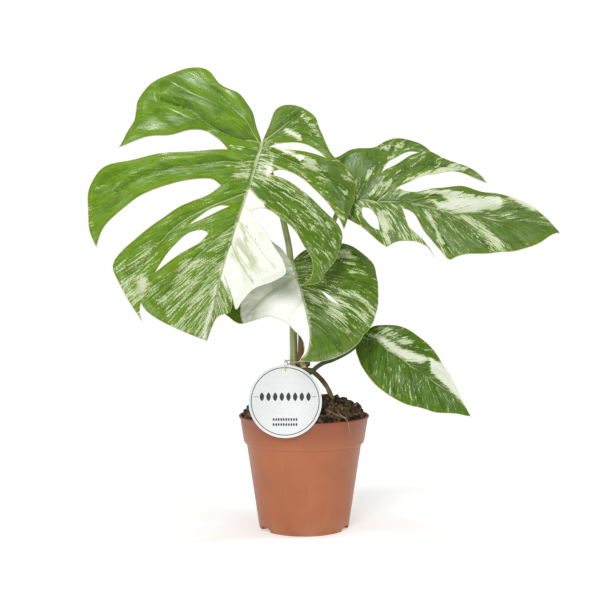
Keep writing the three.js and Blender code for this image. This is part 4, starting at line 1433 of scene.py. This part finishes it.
def curved_sheet(name, bottom, top, half_angles, radius, centre_at, ragged, thickness=0.35):
    """A papery sheet curved round an upright axis, with a ragged top."""
    rows, columns = 44, 22
    outer, inner = [], []
    for row in range(rows + 1):
        share = row / rows
        for column in range(columns + 1):
            across = column / columns
            spread = half_angles[0] + (half_angles[1] - half_angles[0]) * share
            angle = -math.pi / 2 + spread * (2 * across - 1)
            pleat = 0.35 * math.sin(across * 17 + share * 2) + 0.2 * math.sin(across * 41)
            height = bottom + (top - bottom) * share
            height += ragged * share * math.sin(across * 9 + 0.6)
            height -= 20 * share * (across - 0.4) ** 2
            x, y = centre_at(share)
            for skin, out in ((outer, 0.0), (inner, -thickness)):
                size = radius + pleat + out
                skin.append((x + size * math.cos(angle), y + size * math.sin(angle), height))
    width = columns + 1
    count = len(outer)
    faces = []
    for row in range(rows):
        for column in range(columns):
            a = row * width + column
            faces.append((a, a + 1, a + width + 1, a + width))
            faces.append((a + count, a + width + count, a + width + 1 + count, a + 1 + count))
    loop = list(range(width)) + [r * width + columns for r in range(1, rows + 1)]
    loop += [rows * width + c for c in range(columns - 1, -1, -1)]
    loop += [r * width for r in range(rows - 1, 0, -1)]
    for a, b in zip(loop, loop[1:] + loop[:1]):
        faces.append((b, a, a + count, b + count))
    return add_mesh(name, [rim(v) for v in outer + inner], faces)


def add_sheath():
    look = husk_finish()
    sheet = curved_sheet(
        "dried_sheath_paper", 50.5, 76.0, (1.05, 0.5), 3.6, lambda s: (-2.6 - 0.6 * s, -2.2), 1.2
    )
    settle(sheet, look, ("dried_sheath",))
    scale = curved_sheet(
        "node_scale_upper", 43.5, 50.5, (0.9, 0.55), 4.6, lambda s: (-0.6, -1.4), 1.4
    )
    straw = fibre_finish("node_scale_straw", (0.33, 0.25, 0.11), (0.62, 0.54, 0.32))
    settle(scale, straw)
    lower = curved_sheet(
        "node_scale_lower", 36.5, 43.0, (0.7, 0.9), 6.1, lambda s: (-1.6, -0.6), 1.0
    )
    settle(lower, look)


# ---------- pot and soil ----------


def fillet(points, radius, steps=5):
    """A profile with its corners rounded; the first and last points stay."""
    out = [points[0]]
    for before, corner, after in zip(points, points[1:], points[2:]):
        b, c, a = (Vector(p) for p in (before, corner, after))
        cut = min(radius, (b - c).length / 2.2, (a - c).length / 2.2)
        start = c + (b - c).normalized() * cut
        end = c + (a - c).normalized() * cut
        for step in range(steps + 1):
            t = step / steps
            out.append(tuple(start * (1 - t) ** 2 + c * 2 * t * (1 - t) + end * t * t))
    out.append(points[-1])
    return out


def lathe(profile, sides):
    """Verts and quads of a profile (radius, height) turned round the upright axis."""
    verts = []
    for radius, height in profile:
        verts += [(x * MM, y * MM, height * MM) for x, y in circle(radius, sides)]
    return verts, ring_quads(len(profile), sides)


def pot_profile():
    outside = [
        (BODY_BASE_RADIUS - 5, 1.2),
        (BODY_BASE_RADIUS - 5, 0.0),
        (BODY_BASE_RADIUS, 0.0),
        (BODY_BASE_RADIUS + 0.2, 1.6),
        (BODY_TOP_RADIUS, COLLAR_BOTTOM_Z - 1.6),
        (COLLAR_BOTTOM_RADIUS - 0.9, COLLAR_BOTTOM_Z - 1.2),
        (COLLAR_BOTTOM_RADIUS, COLLAR_BOTTOM_Z + 0.3),
        (COLLAR_TOP_RADIUS, POT_HEIGHT - 2.1),
        (POT_LIP_RADIUS, POT_HEIGHT - 1.8),
        (POT_LIP_RADIUS, POT_HEIGHT),
        (COLLAR_TOP_RADIUS - POT_WALL + 0.2, POT_HEIGHT),
        (COLLAR_BOTTOM_RADIUS - POT_WALL, COLLAR_BOTTOM_Z + 1.6),
        (BODY_TOP_RADIUS - POT_WALL, COLLAR_BOTTOM_Z - 0.6),
        (BODY_BASE_RADIUS - POT_WALL, 3.2),
    ]
    return [(0.05, 1.2), *fillet(outside, 0.9), (0.05, 3.2)]


def drain_cutter(angle):
    """An arched notch through the bottom edge, as verts and faces."""
    outline = [(-8.0, -2.0), (8.0, -2.0), (8.0, 1.4), (6.4, 3.0), (4.0, 3.8), (-4.0, 3.8),
               (-6.4, 3.0), (-8.0, 1.4)]
    turn = Matrix.Rotation(math.radians(angle), 3, "Z")
    verts = []
    for radius in (BODY_BASE_RADIUS - 6.5, BODY_BASE_RADIUS + 6.0):
        verts += [turn @ Vector((radius, side, height)) * MM for side, height in outline]
    count = len(outline)
    faces = [tuple(reversed(range(count))), tuple(range(count, 2 * count))]
    for i in range(count):
        after = (i + 1) % count
        faces.append((i, after, after + count, i + count))
    return verts, faces


def carve(obj, cutter):
    """Cuts one mesh from another and keeps the result in it."""
    modifier = obj.modifiers.new("cut", "BOOLEAN")
    modifier.operation = "DIFFERENCE"
    modifier.solver = "EXACT"
    modifier.object = cutter
    bpy.context.view_layer.update()
    graph = bpy.context.evaluated_depsgraph_get()
    result = bpy.data.meshes.new_from_object(obj.evaluated_get(graph))
    obj.modifiers.clear()
    obj.data = result
    bpy.data.objects.remove(cutter)


def add_pot():
    verts, faces = lathe(pot_profile(), POT_SIDES)
    faces.append(tuple(reversed(range(POT_SIDES))))
    faces.append(tuple(range(len(verts) - POT_SIDES, len(verts))))
    pot = add_mesh("pot_body", verts, faces)
    cut_verts, cut_faces = [], []
    for angle in DRAIN_ANGLES:
        verts, faces = drain_cutter(angle)
        cut_faces += [tuple(i + len(cut_verts) for i in face) for face in faces]
        cut_verts += verts
    carve(pot, add_mesh("drain_cutter", cut_verts, cut_faces, False))
    pot.data.shade_smooth()
    pot.data.set_sharp_from_angle(angle=math.radians(38))
    settle(pot, pot_finish(), ("pot",))


def rough_soil_height(x, y):
    """The soil with crumbly relief and the heaps at its left and right."""
    height = soil_height(x, y)
    edge = max(0.0, 1 - (math.hypot(x, y) / 57.0) ** 8)
    height += 3.6 * math.exp(-((x + 53) ** 2 + (y + 6) ** 2) / 60)
    height += 2.2 * math.exp(-((x - 51) ** 2 + (y + 6) ** 2) / 50)
    height += 2.0 * math.exp(-((x - 32) ** 2 + (y + 8) ** 2) / 200) * edge
    height += 2.4 * noise.noise((x / 5.5, y / 5.5, 3.1)) * edge
    height += 1.1 * noise.noise((x / 2.0, y / 2.0, 7.7)) * edge
    return height


def add_soil_bed(look):
    """The bed: a crumbly dome that closes on the pot's inside."""
    rings, sides = 64, 150
    verts, faces = [(0, 0, rough_soil_height(0, 0))], []
    for ring in range(1, rings + 1):
        for x, y in circle(SOIL_EDGE_RADIUS * ring / rings, sides):
            verts.append((x, y, rough_soil_height(x, y)))
    for radius, height in ((55.6, -6.0), (50.5, -30.0)):
        verts += [(x, y, height) for x, y in circle(radius, sides)]
    faces += [(0, 1 + side, 1 + (side + 1) % sides) for side in range(sides)]
    faces += [(1 + a, 1 + d, 1 + c, 1 + b) for a, b, c, d in ring_quads(rings + 2, sides)]
    last = 1 + (rings + 1) * sides
    faces.append(tuple(range(last, last + sides))[::-1])
    obj = add_mesh("soil_bed", [rim(v) for v in verts], faces)
    tones = [(0.5 + 0.5 * noise.noise((v[0] / 5, v[1] / 5, 1.0)), 0, 0) for v in verts]
    give_attribute(obj, "tone", tones)
    settle(obj, look, ("soil",))


def ball(subdivisions):
    made = bmesh.new()
    bmesh.ops.create_icosphere(made, subdivisions=subdivisions, radius=1)
    verts = np.array([v.co[:] for v in made.verts])
    faces = np.array([[v.index for v in face.verts] for face in made.faces])
    made.free()
    return verts, faces


def random_turn(rng):
    angles = [rng.uniform(0, 2 * math.pi) for _ in range(3)]
    turn = Matrix.Rotation(angles[0], 3, "X") @ Matrix.Rotation(angles[1], 3, "Y")
    return np.array(turn @ Matrix.Rotation(angles[2], 3, "Z"))


def crumb_place(rng, size):
    """A place for a crumb on the bed, clear of the pot's wall, stem and aerial root."""
    while True:
        x, y = rng.uniform(-57, 57), rng.uniform(-57, 57)
        reach = math.hypot(x, y)
        root_gap = math.hypot(x - AERIAL_ROOT_PATH[-1][0], y - AERIAL_ROOT_PATH[-1][1])
        if 9 < reach < 57.2 - size and root_gap > 2.6 + 0.5 * size:
            return x, y


def add_crumbs(look, name, count, sizes, subdivisions, rng):
    """Crumbs of soil and bits of bark, joined in one piece."""
    base, base_faces = ball(subdivisions)
    verts, faces, tones = [], [], []
    for index in range(count):
        size = rng.uniform(*sizes) * (1.5 if rng.random() < 0.06 else 1.0)
        x, y = crumb_place(rng, size)
        stretch = [rng.uniform(0.6, 1.25), rng.uniform(0.6, 1.25), rng.uniform(0.5, 1.0)]
        rough = np.array([1 + rng.uniform(-0.28, 0.28) for _ in base])
        shape = base * rough[:, None] * size * np.array(stretch)
        shape = shape @ random_turn(rng).T
        height = rough_soil_height(x, y) + size * rng.uniform(0.1, 0.7)
        verts.append(shape + np.array((x, y, height)))
        faces.append(base_faces + index * len(base))
        tone = (rng.random() ** 1.3, rng.random(), 0)
        tones += [tone] * len(base)
    obj = add_mesh(name, [rim(v) for v in np.vstack(verts)], np.vstack(faces).tolist(), False)
    give_attribute(obj, "tone", tones)
    settle(obj, look)


def curly_fibre(rng):
    """The path of one curly fibre on the soil; most lie to the right of the stem."""
    x, y = crumb_place(rng, 3.0)
    if rng.random() < 0.6:
        x, y = rng.uniform(12, 50), rng.uniform(-42, 6)
        if math.hypot(x, y) > 53:
            x, y = x * 0.85, y * 0.85
    heading = rng.uniform(0, 2 * math.pi)
    bend = rng.uniform(-0.9, 0.9)
    step = rng.uniform(0.8, 1.8)
    lift = rng.uniform(0.3, 1.4)
    path = []
    count = rng.randint(5, 9)
    for index in range(count):
        hop = math.sin(math.pi * index / (count - 1))
        path.append((x, y, rough_soil_height(x, y) + 0.3 + lift * hop))
        heading += bend + rng.uniform(-0.3, 0.3)
        x += step * math.cos(heading)
        y += step * math.sin(heading)
        if math.hypot(x, y) > 55.5:
            break
    return path


def add_fibres(rng):
    verts, faces = [], []
    for _ in range(FIBRES):
        path = curly_fibre(rng)
        if len(path) < 4:
            continue
        size = rng.uniform(0.13, 0.34)
        made, quads, _ = tube(path, lambda share, _, s=size: s * (1 - 0.5 * share), 5, 0.9)
        faces += [tuple(i + len(verts) for i in quad) for quad in quads]
        verts += made
    obj = add_mesh("soil_fibres", [rim(v) for v in verts], faces)
    look = fibre_finish("soil_fibre_skin", (0.045, 0.028, 0.016), (0.24, 0.165, 0.09))
    settle(obj, look)


def add_soil():
    rng = random.Random(SEED)
    look = soil_finish("potting_soil_crumbs")
    add_soil_bed(look)
    add_crumbs(look, "soil_crumbs_coarse", COARSE_CRUMBS, (1.0, 2.4), 2, rng)
    add_crumbs(look, "soil_crumbs_fine", FINE_CRUMBS, (0.35, 0.9), 1, rng)
    add_fibres(rng)


# ---------- tag ----------


def tag_matrix():
    turn = Matrix.Rotation(math.radians(90 - TAG_LEAN), 4, "X")
    return Matrix.Translation(rim(TAG_CENTRE)) @ turn


def leaf_mark(x, y, width, height):
    """A small pointed oval for the generic print."""
    right = [(x + 0.5 * width * math.sin(math.pi * t / 8) ** 0.8, y + height * (t / 8 - 0.5))
             for t in range(9)]
    left = [(2 * x - px, py) for px, py in reversed(right[1:-1])]
    return right + left


def bar_mark(x, y, width, height):
    return [(x - width / 2, y - height / 2), (x + width / 2, y - height / 2),
            (x + width / 2, y + height / 2), (x - width / 2, y + height / 2)]


def filled_outlines(name, loops, thickness, bevel, lift):
    """A flat shape from outlines in millimetres, extruded and edged, on the tag's plane."""
    curve = bpy.data.curves.new(name, "CURVE")
    curve.dimensions = "2D"
    curve.fill_mode = "BOTH"
    curve.extrude = (thickness / 2 - bevel) * MM
    curve.bevel_depth = bevel * MM
    curve.bevel_resolution = 2
    curve.offset = -bevel * MM
    for loop in loops:
        spline = curve.splines.new("POLY")
        spline.points.add(len(loop) - 1)
        for point, (x, y) in zip(spline.points, loop):
            point.co = (x * MM, y * MM, 0, 1)
        spline.use_cyclic_u = True
    drawn = bpy.data.objects.new(name + "_drawn", curve)
    bpy.context.scene.collection.objects.link(drawn)
    bpy.context.view_layer.update()
    graph = bpy.context.evaluated_depsgraph_get()
    mesh = bpy.data.meshes.new_from_object(drawn.evaluated_get(graph))
    bpy.data.objects.remove(drawn)
    mesh.transform(tag_matrix() @ Matrix.Translation((0, 0, lift * MM)))
    mesh.materials.clear()
    obj = bpy.data.objects.new(name, mesh)
    bpy.context.scene.collection.objects.link(obj)
    return obj


def print_marks():
    """The generic print: a thin ring, a row of leaf marks and two rows of small marks."""
    loops = [circle(radius, 180) for radius in PRINT_RING]
    loops += [leaf_mark(-20.3 + 5.8 * k, TITLE_HEIGHT, 3.9, 7.8) for k in range(8)]
    loops += [bar_mark(x, TITLE_HEIGHT, 3.4, 0.42) for x in (-25.6, 25.6)]
    for height in SMALL_ROWS:
        loops += [leaf_mark(-9.9 + 2.2 * k, height, 1.6, 3.0) for k in range(10)]
    return loops


def add_tag():
    outline = [circle(TAG_RADIUS, 200)]
    outline.append(circle(TAG_HOLE_RADIUS, 40, (0, TAG_HOLE_OFFSET)))
    card = filled_outlines("tag_card_disc", outline, TAG_THICKNESS, 0.12, 0.0)
    card.data.shade_smooth()
    card.data.set_sharp_from_angle(angle=math.radians(40))
    settle(card, card_finish(), ("tag_card",))
    lift = TAG_THICKNESS / 2 + 0.03
    marks = filled_outlines("tag_print", print_marks(), 0.06, 0.0, lift)
    settle(marks, ink_finish())


def add_twine():
    """Two plies twisted round each other along the loop."""
    line = resample(catmull(STRING_PATH, True), 150)
    run = arc_lengths(line)
    _, normals, binormals = carried_frames(line, (0, 0, 1))
    ply = STRING_DIAMETER * 0.29
    offset = STRING_DIAMETER * 0.22
    verts, faces = [], []
    for start in (0.0, math.pi):
        turn = (start + run * 2 * math.pi / PLY_PITCH)[:, None]
        spiral = line + offset * (np.cos(turn) * normals + np.sin(turn) * binormals)
        made, quads, _ = tube(spiral.tolist(), lambda share, _: ply, PLY_SIDES, 0.7, (0, 0, 1))
        faces += [tuple(i + len(verts) for i in quad) for quad in quads]
        verts += made
    twine = add_mesh("twine_loop", [rim(v) for v in verts], faces)
    settle(twine, twine_finish(), ("tag_string",))


# ---------- floor, lights, world ----------


FLOOR_DROP = 0.0002
DOME_LIGHT = 0.52
DOME_IN_GLOSS = 0.3
DOME_SEEN = 1.05


def add_floor():
    verts, faces = lathe([(0.001, 0), (300, 0), (1500, 0), (9000, 0)], 64)
    floor = add_mesh("floor", [(x, y, z - FLOOR_DROP) for x, y, z in verts], faces)
    f = Finish("floor_paper", Roughness=0.9, Specular_IOR_Level=0.0, Emission_Strength=0.36)
    f.shader.inputs["Emission Color"].default_value = (1, 1, 1, 1)
    shade = f.noise(f.place(), 3.0, 2.0, 0.5)
    f.feed("Base Color", f.mix(shade, (0.9, 0.9, 0.9), (0.93, 0.93, 0.93)))
    floor.data.materials.append(f.material)


def add_light(name, kind, energy, place, target, **settings):
    data = bpy.data.lights.new(name, kind)
    data.energy = energy
    for key, value in settings.items():
        setattr(data, key, value)
    light = bpy.data.objects.new(name, data)
    light.location = place
    aim = Vector(target) - Vector(place)
    light.rotation_euler = aim.to_track_quat("-Z", "Y").to_euler()
    bpy.context.scene.collection.objects.link(light)


def add_world():
    """White all round for the eye, and a gentler dome for the light it gives."""
    world = bpy.data.worlds.new("studio")
    bpy.context.scene.world = world
    world.use_nodes = True
    nodes, links = world.node_tree.nodes, world.node_tree.links
    nodes.clear()

    def background(strength):
        node = nodes.new("ShaderNodeBackground")
        node.inputs["Color"].default_value = (1, 1, 1, 1)
        node.inputs["Strength"].default_value = strength
        return node.outputs[0]

    def either(switch, plain, special):
        node = nodes.new("ShaderNodeMixShader")
        for socket, value in zip(node.inputs, (path.outputs[switch], plain, special)):
            links.new(value, socket)
        return node.outputs[0]

    path = nodes.new("ShaderNodeLightPath")
    given = either("Is Glossy Ray", background(DOME_LIGHT), background(DOME_IN_GLOSS))
    seen = either("Is Camera Ray", given, background(DOME_SEEN))
    links.new(seen, nodes.new("ShaderNodeOutputWorld").inputs[0])


def add_lights():
    add_light("key", "SUN", 1.25, (-0.28, -1.0, 0.5), (0, 0, 0), angle=0.4)
    box = dict(shape="RECTANGLE", size=0.34, size_y=0.2)
    strip = dict(shape="RECTANGLE", size=0.2, size_y=0.3)
    add_light("softbox", "AREA", 5.4, (-0.04, -0.24, 1.34), (-0.08, 0, 0.35), **box)
    add_light("strip", "AREA", 1.3, (0.85, -0.05, 0.95), (0.05, 0, 0.33), **strip)


bpy.context.scene.view_settings.view_transform = "Standard"
for number, (leaf_name, leaf_shape) in enumerate(LEAVES.items()):
    made_leaf = add_leaf(leaf_name, leaf_shape, number + 1)
    if leaf_name == "leaf_right":
        add_drip_tip(made_leaf.data.materials[0])
add_petioles()
add_stem()
add_aerial_root()
add_surface_root()
add_sheath()
add_pot()
add_soil()
add_tag()
add_twine()
add_floor()
add_world()
add_lights()
